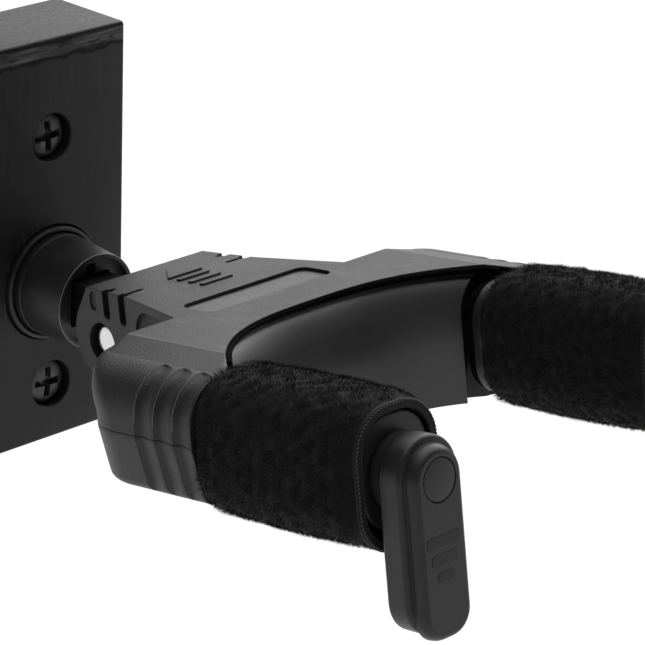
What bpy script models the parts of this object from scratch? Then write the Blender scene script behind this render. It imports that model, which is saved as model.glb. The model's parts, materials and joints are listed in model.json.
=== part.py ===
"""Wall guitar hanger: a wooden wall plate, a swivel collar and a tilting yoke whose two levers lock.

Lengths are millimetres. Every shape is written as (x, out, up): x runs to the right seen from the
room, out runs away from the wall and up is up. The yoke's own shapes use the same three words, but
in the yoke's pitched frame, measured from its pivot.
"""
import math

import bmesh
import bpy

MM = 0.001

# Fits
SEAT_GAP = 0.3
PIN_GAP = 0.3
OVERCUT = 1.0
ROUND_STEPS = 20
SMALL_ROUND_STEPS = 16
RIM_ROUND_STEPS = 32

# Wall plate
PLATE_WIDTH = 36.9
PLATE_THICKNESS = 20.0
PLATE_TOP = 49.5
PLATE_BOTTOM = -33.2
PLATE_EDGE_RADIUS = 0.7
PLATE_BORE_RADIUS = 11.7
PLATE_BORE_DEPTH = 14.0

# Wall screws
SCREW_HEIGHTS = (29.6, -21.6)
SCREW_HEAD_RADIUS = 4.5
SCREW_HEAD_HEIGHT = 2.4
SCREW_HEAD_SINK = 1.5
SCREW_HEAD_RIM = 1.2
SCREW_DOME_RADIUS = 3.6
SCREW_DOME_DROP = 0.3
SCREW_FLAT_RADIUS = 1.8
SCREW_SHANK_RADIUS = 2.1
SCREW_TIP_SHORT = 0.6
SCREW_SLOT_LENGTH = 5.2
SCREW_SLOT_WIDTH = 1.0
SCREW_SLOT_DEPTH = 1.3

# Swivel collar and the ring that holds it in the plate
RING_RADIUS = 11.4
RING_WALL = 0.9
RING_PROUD = 1.1
RING_LENGTH = 8.0
COLLAR_LENGTH = 13.2
COLLAR_RIM_RADIUS = 9.5
COLLAR_FLANGE_LENGTH = 3.6
COLLAR_RIM_WALL = 0.8
COLLAR_RIM_RECESS = 0.6
WASHER_THICKNESS = 1.0
WASHER_BORE_ROOM = 1.0

# Pivot of the yoke
PIVOT_OUT = 52.1
PIVOT_UP = 1.15
YOKE_PITCH = math.radians(9.6)
PIN_RADIUS = 2.5
PIN_HEAD_RADIUS = 3.1
PIN_HEAD_LENGTH = 1.6
PIN_HEAD_CHAMFER = 0.4
PIN_HOLE_RADIUS = 4.0
PIN_HOLE_DEPTH = 2.6
CLIP_THICKNESS = 1.0
BUSH_WALL = 1.0

# Tongue that carries the yoke and works the locks
TONGUE_WIDTH = 9.0
TONGUE_HEIGHT = 9.0
TONGUE_EYE_RADIUS = 6.6
TONGUE_POCKET_DEPTH = 12.0
TONGUE_SCREW_RADIUS = 2.0
TONGUE_SCREW_HEAD_RADIUS = 3.4
TONGUE_SCREW_HEAD_LENGTH = 2.2
TONGUE_SCREW_LENGTH = 12.0

# Yoke outline on its top face
TOP_FACE_UP = 10.35
BODY_BOTTOM_UP = -15.5
PARTING_UP = -1.8
PARTING_REAR_OUT = 13.0
NECK_REAR_OUT = -2.8
NECK_REAR_HALF = 14.7
NECK_FLARE_OUT = 9.5
NECK_FLARE_HALF = 16.1
NOTCH_OUT = 28.3
NOTCH_HALF = 21.4
SHOULDER_REACH = 11.5
SHOULDER_CORNER_RADIUS = 11.0
SHOULDER_FRONT_OUT = 59.2
CREASE_INSET = 3.0
FACET_INSET = 8.0
FACET_DROP = 1.35
SHOULDER_SIDE_TOP = 0.5
SHOULDER_LEAN_UP = -2.5
SHOULDER_FOOT_INSET = 1.8
SHOULDER_FOOT_RISE = 4.3
SHOULDER_EDGE_INSET = 3.0
SHOULDER_EDGE_RISE = 3.1
SHOULDER_BOTTOM_INSET = 13.7
CHEEK_RADIUS = 8.9
CHEEK_CENTRE_OUT = 1.2
CHEEK_CENTRE_UP = 1.0
UNDERSIDE_REAR_OUT = 12.0
UNDERSIDE_REAR_UP = -8.2
UNDERSIDE_FRONT_OUT = 26.0
SCOOP_HALF = 16.4
SCOOP_REAR_OUT = 12.2
SCOOP_ROOF = 1.55
SCOOP_RADIUS = 4.5

# Neck opening: the lip bends out as a power of the distance from the middle
LIP_APEX_OUT = 41.9
LIP_RISE = 11.3
LIP_RISE_INSET = 3.3
LIP_POWER = 2.9
LIP_UNDER_UP = 8.9
LINER_END_INSET = 7.2
LINER_TOP_GAP = 1.0
LINER_THICKNESS = 2.2
LINER_DRAFT = 3.0
LINER_BOTTOM_UP = -14.8
LINER_STATIONS = 29
LINER_FACE_STEPS = 5
LINER_LEAN_POWER = 1.5
LINER_SEAT_SPREAD = 1.5

# Hollow of the yoke
NECK_HOLLOW_HALF = 8.8
HOLLOW_ROOF = 2.75
HOLLOW_FLOOR = 2.1
HOLLOW_END_ROOM = 0.7
CROSS_HOLLOW_REAR_ROOM = 4.0
CROSS_HOLLOW_FRONT_ROOM = 3.3

# Label recess and cheek and shoulder grooves
LABEL_LENGTH = 31.0
LABEL_WIDTH = 8.8
LABEL_CENTRE_OUT = 27.4
LABEL_CORNER_RADIUS = 2.2
LABEL_RECESS_DEPTH = 1.4
LABEL_PLATE_THICKNESS = 0.5
CHEEK_GROOVE_WIDTH = 2.1
CHEEK_GROOVE_DEPTH = 1.3
CHEEK_GROOVES = ((-1.7, 6.1, 1.3), (2.5, 5.0, 2.6), (7.6, 4.6, 5.4))
CHEEK_TOP_SLOT_DEPTH = 0.8
SHOULDER_GROOVE_FIRST_OUT = 47.7
SHOULDER_GROOVE_PITCH = 4.45
SHOULDER_GROOVE_COUNT = 3
SHOULDER_GROOVE_WIDTH = 3.2
SHOULDER_GROOVE_DEPTH = 0.8
SHOULDER_GROOVE_START_HALF = 37.5

# Arms, sleeves and their bushes
ARM_HALF = 35.5
ARM_UP = -2.5
ARM_WIDTH = 15.5
ARM_HEIGHT = 19.5
ARM_CORNER_RADIUS = 6.5
ARM_REAR_OUT = 52.7
ARM_SPIGOT_REAR_OUT = 44.0
ARM_SPIGOT_RADIUS = 5.5
ARM_TIP_OUT = 95.5
ARM_BORE_RADIUS = 4.4
TRIM_REAR_OUT = 55.2
TRIM_FRONT_OUT = 58.7
TRIM_INNER_WALL = 2.95
TRIM_OUTER_WALL = 1.15
TRIM_END_WALL = 0.95
TRIM_CORNER_RADIUS = 7.0
SLEEVE_SIDE_PILE = 3.75
SLEEVE_END_PILE = 3.25
SLEEVE_REAR_OUT = 59.5
SLEEVE_FRONT_OUT = 97.4
SLEEVE_CORNER_RADIUS = 9.5
SLEEVE_CROWN = 0.5
SLEEVE_HEM_DRAW = 1.7
SLEEVE_HEM_LENGTH = 3.0
SLEEVE_REAR_DRAW = 0.7
SLEEVE_REAR_LENGTH = 4.0
SLEEVE_STATIONS = 12
ARM_BUSH_LENGTH = 6.0

# Lock shaft, pinion and lever
SHAFT_RADIUS = 3.0
SHAFT_TAIL_RADIUS = 2.0
SHAFT_REAR_ROOM = 3.5
SHAFT_STEP_ROOM = 3.7
SHAFT_TIP_OUT = 100.2
LEVER_SWING = math.radians(85.0)
RACK_BEHIND_LIP = 7.4
PINION_TEETH = 10
PINION_WIDTH = 3.6
TOOTH_ADDENDUM = 0.55
TOOTH_DEDENDUM = 0.9
TOOTH_ROOT_WIDTH = 0.9
TOOTH_TIP_WIDTH = 0.45
RACK_BAR_HEIGHT = 9.6
RACK_BAR_THICKNESS = 4.0
RACK_BAR_RISE = 0.3
RACK_SCREW_RADIUS = 1.5
RACK_SCREW_HEAD_RADIUS = 2.6
RACK_SCREW_HEAD_LENGTH = 1.0
RACK_SCREW_LENGTH = 8.0
LEVER_HUB_RADIUS = 6.9
LEVER_HUB_LENGTH = 2.2
LEVER_HALF_WIDTH = 7.0
LEVER_DROP = 26.3
LEVER_TOE_RADIUS = 6.0
LEVER_BODY_THICKNESS = 4.8
LEVER_PAD_INSET = 1.3
LEVER_PAD_THICKNESS = 2.4
LEVER_PAD_TOE = 1.0
LEVER_PAD_STEP = 0.15
LEVER_PAD_DRAFT = 0.2
LEVER_EDGE_RADIUS = 0.7
CAP_RADIUS = 3.65
CAP_THICKNESS = 1.0
LEVER_SCREW_RADIUS = 1.5
LEVER_SCREW_HEAD_RADIUS = 2.9
LEVER_SCREW_HEAD_LENGTH = 1.4
LEVER_SCREW_LENGTH = 7.0

# Screws that close the two shells
REAR_SCREW_HALF = 12.6
REAR_SCREW_OUT = 21.0
FRONT_SCREW_INSET = 6.0
FRONT_SCREW_OUT = 40.9
SHELL_SCREW_RADIUS = 1.4
SHELL_SCREW_HEAD_RADIUS = 2.7
SHELL_SCREW_HEAD_LENGTH = 1.7
SHELL_SCREW_HEAD_UP = -10.0
SHELL_SCREW_TIP_UP = 4.0
SHELL_SCREW_SLOT_LENGTH = 3.2
SHELL_SCREW_SLOT_WIDTH = 0.7
SHELL_SCREW_SLOT_DEPTH = 0.8

# Return spring on the pivot pin
SPRING_WIRE_RADIUS = 0.45
SPRING_COIL_RADIUS = 5.1
SPRING_TURNS = 2.0
SPRING_PITCH = 1.4
SPRING_POINTS_PER_TURN = 16
SPRING_LEG_LENGTH = 9.0

# Sizes that follow from the ones above
COLLAR_FRONT_OUT = PLATE_THICKNESS + COLLAR_LENGTH
COLLAR_BASE_RADIUS = RING_RADIUS - RING_WALL - SEAT_GAP
BORE_FLOOR_OUT = PLATE_THICKNESS - PLATE_BORE_DEPTH
WASHER_REAR_OUT = BORE_FLOOR_OUT + SEAT_GAP
FLANGE_REAR_OUT = WASHER_REAR_OUT + WASHER_THICKNESS + SEAT_GAP
FLANGE_FRONT_OUT = FLANGE_REAR_OUT + COLLAR_FLANGE_LENGTH
RACK_REACH = LIP_APEX_OUT - RACK_BEHIND_LIP
PINION_RADIUS = RACK_REACH * YOKE_PITCH / LEVER_SWING
PINION_OUT = RACK_REACH * math.cos(YOKE_PITCH)
SHOULDER_HALF = ARM_HALF + SHOULDER_REACH
CREASE_HALF = ARM_HALF - CREASE_INSET
FACET_HALF = SHOULDER_HALF - FACET_INSET
LIP_RISE_HALF = ARM_HALF - LIP_RISE_INSET
LINER_END_HALF = ARM_HALF - LINER_END_INSET
SHOULDER_BOTTOM_HALF = SHOULDER_HALF - SHOULDER_BOTTOM_INSET
HOLLOW_TOP_UP = TOP_FACE_UP - HOLLOW_ROOF
HOLLOW_BOTTOM_UP = BODY_BOTTOM_UP + HOLLOW_FLOOR
CROSS_HOLLOW_HALF = ARM_HALF + PINION_RADIUS + TOOTH_ADDENDUM + HOLLOW_END_ROOM
CROSS_BAR_HALF = ARM_HALF - PINION_RADIUS + TOOTH_ADDENDUM + HOLLOW_END_ROOM
PINION_HOLLOW_FLOOR_UP = ARM_UP - PINION_RADIUS - TOOTH_ADDENDUM - HOLLOW_END_ROOM
CROSS_HOLLOW_REAR_OUT = RACK_REACH - CROSS_HOLLOW_REAR_ROOM
CROSS_HOLLOW_FRONT_OUT = RACK_REACH + CROSS_HOLLOW_FRONT_ROOM
SHAFT_REAR_OUT = RACK_REACH - SHAFT_REAR_ROOM
SHAFT_STEP_OUT = RACK_REACH + SHAFT_STEP_ROOM
TRIM_INNER_HALF = ARM_HALF - ARM_WIDTH / 2 - TRIM_INNER_WALL
TRIM_OUTER_HALF = ARM_HALF + ARM_WIDTH / 2 + TRIM_OUTER_WALL
TRIM_TOP_UP = ARM_UP + ARM_HEIGHT / 2 + TRIM_END_WALL
TRIM_BOTTOM_UP = ARM_UP - ARM_HEIGHT / 2 - TRIM_END_WALL
SLEEVE_WIDTH = ARM_WIDTH + 2 * SLEEVE_SIDE_PILE
SLEEVE_HEIGHT = ARM_HEIGHT + 2 * SLEEVE_END_PILE
SHELL_SCREW_PLACES = ((REAR_SCREW_HALF, REAR_SCREW_OUT), (SHOULDER_HALF - FRONT_SCREW_INSET, FRONT_SCREW_OUT))
LINER_TOP_UP = LIP_UNDER_UP - LINER_TOP_GAP
LEVER_REAR_OUT = ARM_TIP_OUT + SEAT_GAP
LEVER_BODY_OUT = LEVER_REAR_OUT + LEVER_HUB_LENGTH
LEVER_PAD_OUT = LEVER_BODY_OUT + LEVER_BODY_THICKNESS
LEVER_FRONT_OUT = LEVER_PAD_OUT + LEVER_PAD_THICKNESS
CAP_FLOOR_OUT = LEVER_FRONT_OUT - CAP_THICKNESS - SEAT_GAP
LEVER_SCREW_SEAT_OUT = CAP_FLOOR_OUT - LEVER_SCREW_HEAD_LENGTH - SEAT_GAP

# Finishes: colour, roughness, metallic
FINISHES = {
    "stained_wood": ((0.012, 0.012, 0.013), 0.45, 0.0),
    "black_plastic": ((0.014, 0.014, 0.015), 0.48, 0.0),
    "black_rubber": ((0.018, 0.018, 0.019), 0.62, 0.0),
    "black_plush": ((0.006, 0.006, 0.007), 0.95, 0.0),
    "black_screw": ((0.02, 0.02, 0.021), 0.4, 0.6),
    "bright_steel": ((0.75, 0.75, 0.76), 0.22, 1.0),
    "painted_steel": ((0.02, 0.02, 0.02), 0.4, 0.3),
    "acetal": ((0.55, 0.55, 0.52), 0.4, 0.0),
}


def arc(centre_a, centre_b, radius_a, radius_b, start, end, steps):
    """Points of an elliptical arc, both ends included, angles in degrees."""
    points = []
    for step in range(steps + 1):
        angle = math.radians(start + (end - start) * step / steps)
        points.append((centre_a + radius_a * math.cos(angle), centre_b + radius_b * math.sin(angle)))
    return points


def circle(centre_a, centre_b, radius, steps=ROUND_STEPS):
    """Closed circle as points."""
    return arc(centre_a, centre_b, radius, radius, 0.0, 360.0, steps)[:-1]


def rounded_box(low_a, high_a, low_b, high_b, radius, steps=5):
    """Closed rectangle with round corners."""
    points = arc(high_a - radius, high_b - radius, radius, radius, 0, 90, steps)
    points += arc(low_a + radius, high_b - radius, radius, radius, 90, 180, steps)
    points += arc(low_a + radius, low_b + radius, radius, radius, 180, 270, steps)
    points += arc(high_a - radius, low_b + radius, radius, radius, 270, 360, steps)
    return points


def box_outline(low_a, high_a, low_b, high_b):
    """Closed plain rectangle."""
    return [(low_a, low_b), (high_a, low_b), (high_a, high_b), (low_a, high_b)]


def mirrored(points):
    """Outline of a whole shape from its right half, listed from the rear middle to the front middle."""
    return points + [(-a, b) for a, b in reversed(points) if abs(a) > 1e-6]


def make_object(name, points, faces, holder=None):
    """Closed mesh object from (x, out, up) points, with its faces turned outwards."""
    mesh = bpy.data.meshes.new(name)
    mesh.from_pydata([(x * MM, -out * MM, up * MM) for x, out, up in points], [], faces)
    shape = bmesh.new()
    shape.from_mesh(mesh)
    bmesh.ops.recalc_face_normals(shape, faces=shape.faces)
    shape.to_mesh(mesh)
    shape.free()
    thing = bpy.data.objects.new(name, mesh)
    bpy.context.scene.collection.objects.link(thing)
    thing.parent = holder
    return thing


def loft(name, rings, holder=None, closed=False):
    """Skin over rings of equal length, capped at both ends, or joined end to start."""
    size = len(rings[0])
    points = [point for ring in rings for point in ring]
    faces = []
    spans = len(rings) if closed else len(rings) - 1
    for ring in range(spans):
        here = ring * size
        there = (ring + 1) % len(rings) * size
        for side in range(size):
            after = (side + 1) % size
            faces.append((here + side, here + after, there + after, there + side))
    if not closed:
        faces.append(tuple(range(size)))
        faces.append(tuple(range(len(points) - size, len(points))))
    return make_object(name, points, faces, holder)


def prism(name, outline, axis, low, high, holder=None):
    """Outline carried straight along one of the words x, out and up."""
    def place(a, b, along):
        return {"x": (along, a, b), "out": (a, along, b), "up": (a, b, along)}[axis]
    rings = [[place(a, b, along) for a, b in outline] for along in (low, high)]
    return loft(name, rings, holder)


def turned(name, profile, axis="out", centre=(0.0, 0.0), holder=None, steps=ROUND_STEPS):
    """Closed profile of (radius, along) turned about an axis; a profile touching radius 0 is solid."""
    def place(radius, along, angle):
        a = centre[0] + radius * math.cos(angle)
        b = centre[1] + radius * math.sin(angle)
        return {"x": (along, a, b), "out": (a, along, b), "up": (a, b, along)}[axis]
    angles = [2.0 * math.pi * step / steps for step in range(steps)]
    if profile[0][0] > 0.0:
        rings = [[place(radius, along, angle) for radius, along in profile] for angle in angles]
        return loft(name, rings, holder, closed=True)
    rings = [[place(radius, along, angle) for angle in angles] for radius, along in profile[1:-1]]
    return loft(name, rings, holder)


def rod(name, radius, low, high, axis="out", centre=(0.0, 0.0), holder=None, steps=ROUND_STEPS):
    """Plain round rod."""
    return turned(name, [(0, low), (radius, low), (radius, high), (0, high)], axis, centre, holder, steps)


def tube(name, inner, outer, low, high, axis="out", centre=(0.0, 0.0), holder=None):
    """Plain round tube."""
    profile = [(inner, low), (outer, low), (outer, high), (inner, high)]
    return turned(name, profile, axis, centre, holder)


def shape_with(target, tool, operation):
    """Boolean of the target with a hidden tool."""
    step = target.modifiers.new(tool.name, "BOOLEAN")
    step.operation = operation
    step.solver = "EXACT"
    step.object = tool
    tool.hide_render = True
    tool.display_type = "WIRE"
    return target


def cut(target, tool):
    """Takes the tool's space out of the target."""
    return shape_with(target, tool, "DIFFERENCE")


def finish(thing, finish_name):
    """Gives a piece its own material and soft shading with crisp edges."""
    colour, roughness, metallic = FINISHES[finish_name]
    material = bpy.data.materials.new(thing.name + "_" + finish_name)
    material.use_nodes = True
    surface = material.node_tree.nodes["Principled BSDF"]
    surface.inputs["Base Color"].default_value = (*colour, 1.0)
    surface.inputs["Roughness"].default_value = roughness
    surface.inputs["Metallic"].default_value = metallic
    thing.data.materials.clear()
    thing.data.materials.append(material)
    thing.data.shade_smooth()
    thing.data.set_sharp_from_angle(angle=math.radians(35.0))
    return thing


def empty(name, place, pitch=0.0, holder=None):
    """Joint axis marker that carries the pieces of one body."""
    marker = bpy.data.objects.new(name, None)
    marker.location = (place[0] * MM, -place[1] * MM, place[2] * MM)
    marker.rotation_euler = (-pitch, 0.0, 0.0)
    marker.parent = holder
    bpy.context.scene.collection.objects.link(marker)
    return marker


def cross_cut(target, name, axis, centre, face, length, width, depth, holder=None):
    """Cross slot sunk from face by depth; a negative depth sinks the other way."""
    low, high = sorted((face - depth, face + math.copysign(OVERCUT, depth)))
    for turn, (half_a, half_b) in enumerate(((length / 2, width / 2), (width / 2, length / 2))):
        outline = box_outline(centre[0] - half_a, centre[0] + half_a, centre[1] - half_b, centre[1] + half_b)
        cut(target, prism(f"{name}_slot_{turn}_cutter", outline, axis, low, high, holder))


def lip_out(x):
    """How far out the lip of the neck opening lies at a distance x from the middle."""
    return LIP_APEX_OUT + LIP_RISE * (abs(x) / LIP_RISE_HALF) ** LIP_POWER


def lip_offset(x, distance):
    """Point of the lip at x, moved square to the curve: forward is positive."""
    slope = LIP_RISE * LIP_POWER / LIP_RISE_HALF * (abs(x) / LIP_RISE_HALF) ** (LIP_POWER - 1.0)
    slope = math.copysign(slope, x)
    length = math.hypot(1.0, slope)
    return x - slope / length * distance, lip_out(x) + distance / length


def spaced(low, high, count):
    """Evenly spaced numbers, both ends included."""
    return [low + (high - low) * step / (count - 1) for step in range(count)]


def build_wall_plate():
    """Wooden plate with worn edges, sunk screw holes and a blind bore for the collar."""
    side = box_outline(0.0, PLATE_THICKNESS, PLATE_BOTTOM, PLATE_TOP)
    plate = prism("wall_plate", side, "x", -PLATE_WIDTH / 2, PLATE_WIDTH / 2)
    edges = plate.modifiers.new("worn_edges", "BEVEL")
    edges.width = PLATE_EDGE_RADIUS * MM
    edges.segments = 2
    edges.limit_method = "ANGLE"
    front = PLATE_THICKNESS + OVERCUT
    cut(plate, rod("collar_bore_cutter", PLATE_BORE_RADIUS, BORE_FLOOR_OUT, front))
    head_floor = PLATE_THICKNESS - SCREW_HEAD_SINK - SCREW_HEAD_HEIGHT - SEAT_GAP
    for number, height in enumerate(SCREW_HEIGHTS):
        profile = [
            (0, -OVERCUT),
            (SCREW_SHANK_RADIUS + PIN_GAP, -OVERCUT),
            (SCREW_SHANK_RADIUS + PIN_GAP, head_floor),
            (SCREW_HEAD_RADIUS + PIN_GAP, head_floor),
            (SCREW_HEAD_RADIUS + PIN_GAP, front),
            (0, front),
        ]
        cut(plate, turned(f"wall_screw_{number}_cutter", profile, centre=(0.0, height)))
    return finish(plate, "stained_wood")


def build_wall_screws():
    """Two cross-head wood screws; they stop just short of the plate's back."""
    head_front = PLATE_THICKNESS - SCREW_HEAD_SINK
    head_rear = head_front - SCREW_HEAD_HEIGHT
    profile = [
        (0, SCREW_TIP_SHORT),
        (SCREW_SHANK_RADIUS, SCREW_TIP_SHORT),
        (SCREW_SHANK_RADIUS, head_rear),
        (SCREW_HEAD_RADIUS, head_rear),
        (SCREW_HEAD_RADIUS, head_rear + SCREW_HEAD_RIM),
        (SCREW_DOME_RADIUS, head_front - SCREW_DOME_DROP),
        (SCREW_FLAT_RADIUS, head_front),
        (0, head_front),
    ]
    for name, height in zip(("upper", "lower"), SCREW_HEIGHTS):
        screw = turned(f"{name}_wall_screw", profile, centre=(0.0, height))
        cross_cut(screw, screw.name, "out", (0.0, height), head_front,
                  SCREW_SLOT_LENGTH, SCREW_SLOT_WIDTH, SCREW_SLOT_DEPTH)
        finish(screw, "black_screw")


def build_base_ring():
    """Ring pressed into the plate's bore that keeps the collar's flange in."""
    rear = FLANGE_FRONT_OUT + SEAT_GAP
    front = PLATE_THICKNESS + RING_PROUD
    inner = RING_RADIUS - RING_WALL
    profile = [
        (inner, rear),
        (RING_RADIUS, rear),
        (RING_RADIUS, front - RING_WALL / 2),
        (RING_RADIUS - RING_WALL / 2, front),
        (inner, front),
    ]
    return finish(turned("base_ring", profile, steps=RIM_ROUND_STEPS), "black_plastic")


def build_swivel(holder):
    """Collar, its washer, and the tongue screwed into it."""
    washer = tube("friction_washer", TONGUE_SCREW_HEAD_RADIUS + WASHER_BORE_ROOM, RING_RADIUS - SEAT_GAP,
                  WASHER_REAR_OUT, WASHER_REAR_OUT + WASHER_THICKNESS, holder=holder)
    finish(washer, "acetal")
    profile = [
        (0, FLANGE_REAR_OUT),
        (RING_RADIUS, FLANGE_REAR_OUT),
        (RING_RADIUS, FLANGE_FRONT_OUT),
        (COLLAR_BASE_RADIUS, FLANGE_FRONT_OUT),
        (COLLAR_BASE_RADIUS, PLATE_THICKNESS),
        (COLLAR_RIM_RADIUS, COLLAR_FRONT_OUT),
        (COLLAR_RIM_RADIUS - COLLAR_RIM_WALL, COLLAR_FRONT_OUT),
        (COLLAR_RIM_RADIUS - COLLAR_RIM_WALL, COLLAR_FRONT_OUT - COLLAR_RIM_RECESS),
        (0, COLLAR_FRONT_OUT - COLLAR_RIM_RECESS),
    ]
    collar = turned("swivel_collar", profile, holder=holder, steps=RIM_ROUND_STEPS)
    half_width = TONGUE_WIDTH / 2 + SEAT_GAP
    half_height = TONGUE_HEIGHT / 2 + SEAT_GAP
    pocket_floor = COLLAR_FRONT_OUT - TONGUE_POCKET_DEPTH
    pocket = box_outline(-half_width, half_width, -half_height, half_height)
    cut(collar, prism("tongue_pocket_cutter", pocket, "out", pocket_floor, COLLAR_FRONT_OUT + OVERCUT,
                      holder))
    head_floor = FLANGE_REAR_OUT + SEAT_GAP + TONGUE_SCREW_HEAD_LENGTH + SEAT_GAP
    screw_space = [
        (0, FLANGE_REAR_OUT - OVERCUT),
        (TONGUE_SCREW_HEAD_RADIUS + PIN_GAP, FLANGE_REAR_OUT - OVERCUT),
        (TONGUE_SCREW_HEAD_RADIUS + PIN_GAP, head_floor),
        (TONGUE_SCREW_RADIUS + PIN_GAP, head_floor),
        (TONGUE_SCREW_RADIUS + PIN_GAP, pocket_floor + OVERCUT),
        (0, pocket_floor + OVERCUT),
    ]
    cut(collar, turned("tongue_screw_cutter", screw_space, holder=holder))
    finish(collar, "black_plastic")

    screw_tip = pocket_floor + TONGUE_SCREW_LENGTH / 2
    head_front = head_floor - SEAT_GAP
    screw_profile = [
        (0, head_front - TONGUE_SCREW_HEAD_LENGTH),
        (TONGUE_SCREW_HEAD_RADIUS, head_front - TONGUE_SCREW_HEAD_LENGTH),
        (TONGUE_SCREW_HEAD_RADIUS, head_front),
        (TONGUE_SCREW_RADIUS, head_front),
        (TONGUE_SCREW_RADIUS, screw_tip),
        (0, screw_tip),
    ]
    finish(turned("tongue_screw", screw_profile, holder=holder, steps=SMALL_ROUND_STEPS), "bright_steel")

    build_tongue(holder, pocket_floor + SEAT_GAP, screw_tip + SEAT_GAP)


def build_tongue(holder, rear, screw_space_end):
    """Level steel tongue: stem in the collar, eye on the pivot, nose under the yoke."""
    half = TONGUE_HEIGHT / 2
    nose_front = PIVOT_OUT + RACK_REACH - RACK_BAR_THICKNESS / 2 - SEAT_GAP
    nose_low = PIVOT_UP + RACK_BAR_RISE - half
    nose_high = PIVOT_UP + RACK_BAR_RISE + half
    angle = math.degrees(math.asin(half / TONGUE_EYE_RADIUS))
    stem_front = COLLAR_FRONT_OUT + SEAT_GAP
    side = [(rear, -half), (stem_front, -half)]
    side += arc(PIVOT_OUT, PIVOT_UP, TONGUE_EYE_RADIUS, TONGUE_EYE_RADIUS, 180 + angle, 360 - angle, 10)
    side += [(nose_front, nose_low), (nose_front, nose_high)]
    side += arc(PIVOT_OUT, PIVOT_UP, TONGUE_EYE_RADIUS, TONGUE_EYE_RADIUS, angle, 180 - angle, 10)
    side += [(stem_front, half), (rear, half)]
    tongue = prism("pivot_tongue", side, "x", -TONGUE_WIDTH / 2, TONGUE_WIDTH / 2, holder)
    bush_radius = PIN_RADIUS + PIN_GAP + BUSH_WALL
    cut(tongue, rod("eye_cutter", bush_radius + SEAT_GAP, -NECK_HOLLOW_HALF, NECK_HOLLOW_HALF, "x",
                    (PIVOT_OUT, PIVOT_UP), holder))
    cut(tongue, rod("stem_screw_cutter", TONGUE_SCREW_RADIUS + PIN_GAP, rear - OVERCUT, screw_space_end,
                    holder=holder, steps=SMALL_ROUND_STEPS))
    cut(tongue, rod("nose_screw_cutter", RACK_SCREW_RADIUS + PIN_GAP,
                    nose_front - RACK_SCREW_LENGTH, nose_front + OVERCUT,
                    centre=(0.0, PIVOT_UP + RACK_BAR_RISE), holder=holder, steps=SMALL_ROUND_STEPS))
    finish(tongue, "painted_steel")
    bush = tube("pivot_bush", PIN_RADIUS + PIN_GAP, bush_radius, -TONGUE_WIDTH / 2, TONGUE_WIDTH / 2, "x",
                (PIVOT_OUT, PIVOT_UP), holder)
    finish(bush, "acetal")


def build_rack_bar(holder):
    """Cross bar on the tongue's nose with a short toothed rack at each end, and its screw."""
    pitch = 2.0 * math.pi * PINION_RADIUS / PINION_TEETH
    pitch_half = ARM_HALF - PINION_RADIUS
    root_half = pitch_half - TOOTH_DEDENDUM
    tip_half = pitch_half + TOOTH_ADDENDUM
    middle = PIVOT_UP + RACK_BAR_RISE
    low = middle - RACK_BAR_HEIGHT / 2
    high = middle + RACK_BAR_HEIGHT / 2
    # A gap of the rack lies level with the pinion's centre at rest
    pinion_up = PIVOT_UP + PINION_OUT * math.sin(YOKE_PITCH) + ARM_UP * math.cos(YOKE_PITCH)
    first = pinion_up + pitch / 2
    while first - pitch > low + TOOTH_ROOT_WIDTH:
        first -= pitch
    side = [(root_half, low)]
    height = first
    while height < high - TOOTH_ROOT_WIDTH:
        side += [
            (root_half, height - TOOTH_ROOT_WIDTH / 2),
            (tip_half, height - TOOTH_TIP_WIDTH / 2),
            (tip_half, height + TOOTH_TIP_WIDTH / 2),
            (root_half, height + TOOTH_ROOT_WIDTH / 2),
        ]
        height += pitch
    side.append((root_half, high))
    outline = side + [(-x, up) for x, up in reversed(side)]
    centre_out = PIVOT_OUT + RACK_REACH
    rear = centre_out - RACK_BAR_THICKNESS / 2
    front = centre_out + RACK_BAR_THICKNESS / 2
    bar = prism("rack_bar", outline, "out", rear, front, holder)
    seat = front - RACK_SCREW_HEAD_LENGTH - SEAT_GAP
    space = [
        (0, rear - OVERCUT),
        (RACK_SCREW_RADIUS + PIN_GAP, rear - OVERCUT),
        (RACK_SCREW_RADIUS + PIN_GAP, seat),
        (RACK_SCREW_HEAD_RADIUS + PIN_GAP, seat),
        (RACK_SCREW_HEAD_RADIUS + PIN_GAP, front + OVERCUT),
        (0, front + OVERCUT),
    ]
    cut(bar, turned("rack_screw_cutter", space, centre=(0.0, middle), holder=holder, steps=SMALL_ROUND_STEPS))
    finish(bar, "painted_steel")
    shank_tip = rear - RACK_SCREW_LENGTH
    screw = [
        (0, shank_tip),
        (RACK_SCREW_RADIUS, shank_tip),
        (RACK_SCREW_RADIUS, seat + SEAT_GAP),
        (RACK_SCREW_HEAD_RADIUS, seat + SEAT_GAP),
        (RACK_SCREW_HEAD_RADIUS, front),
        (0, front),
    ]
    finish(turned("rack_screw", screw, centre=(0.0, middle), holder=holder, steps=SMALL_ROUND_STEPS),
           "bright_steel")


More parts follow.
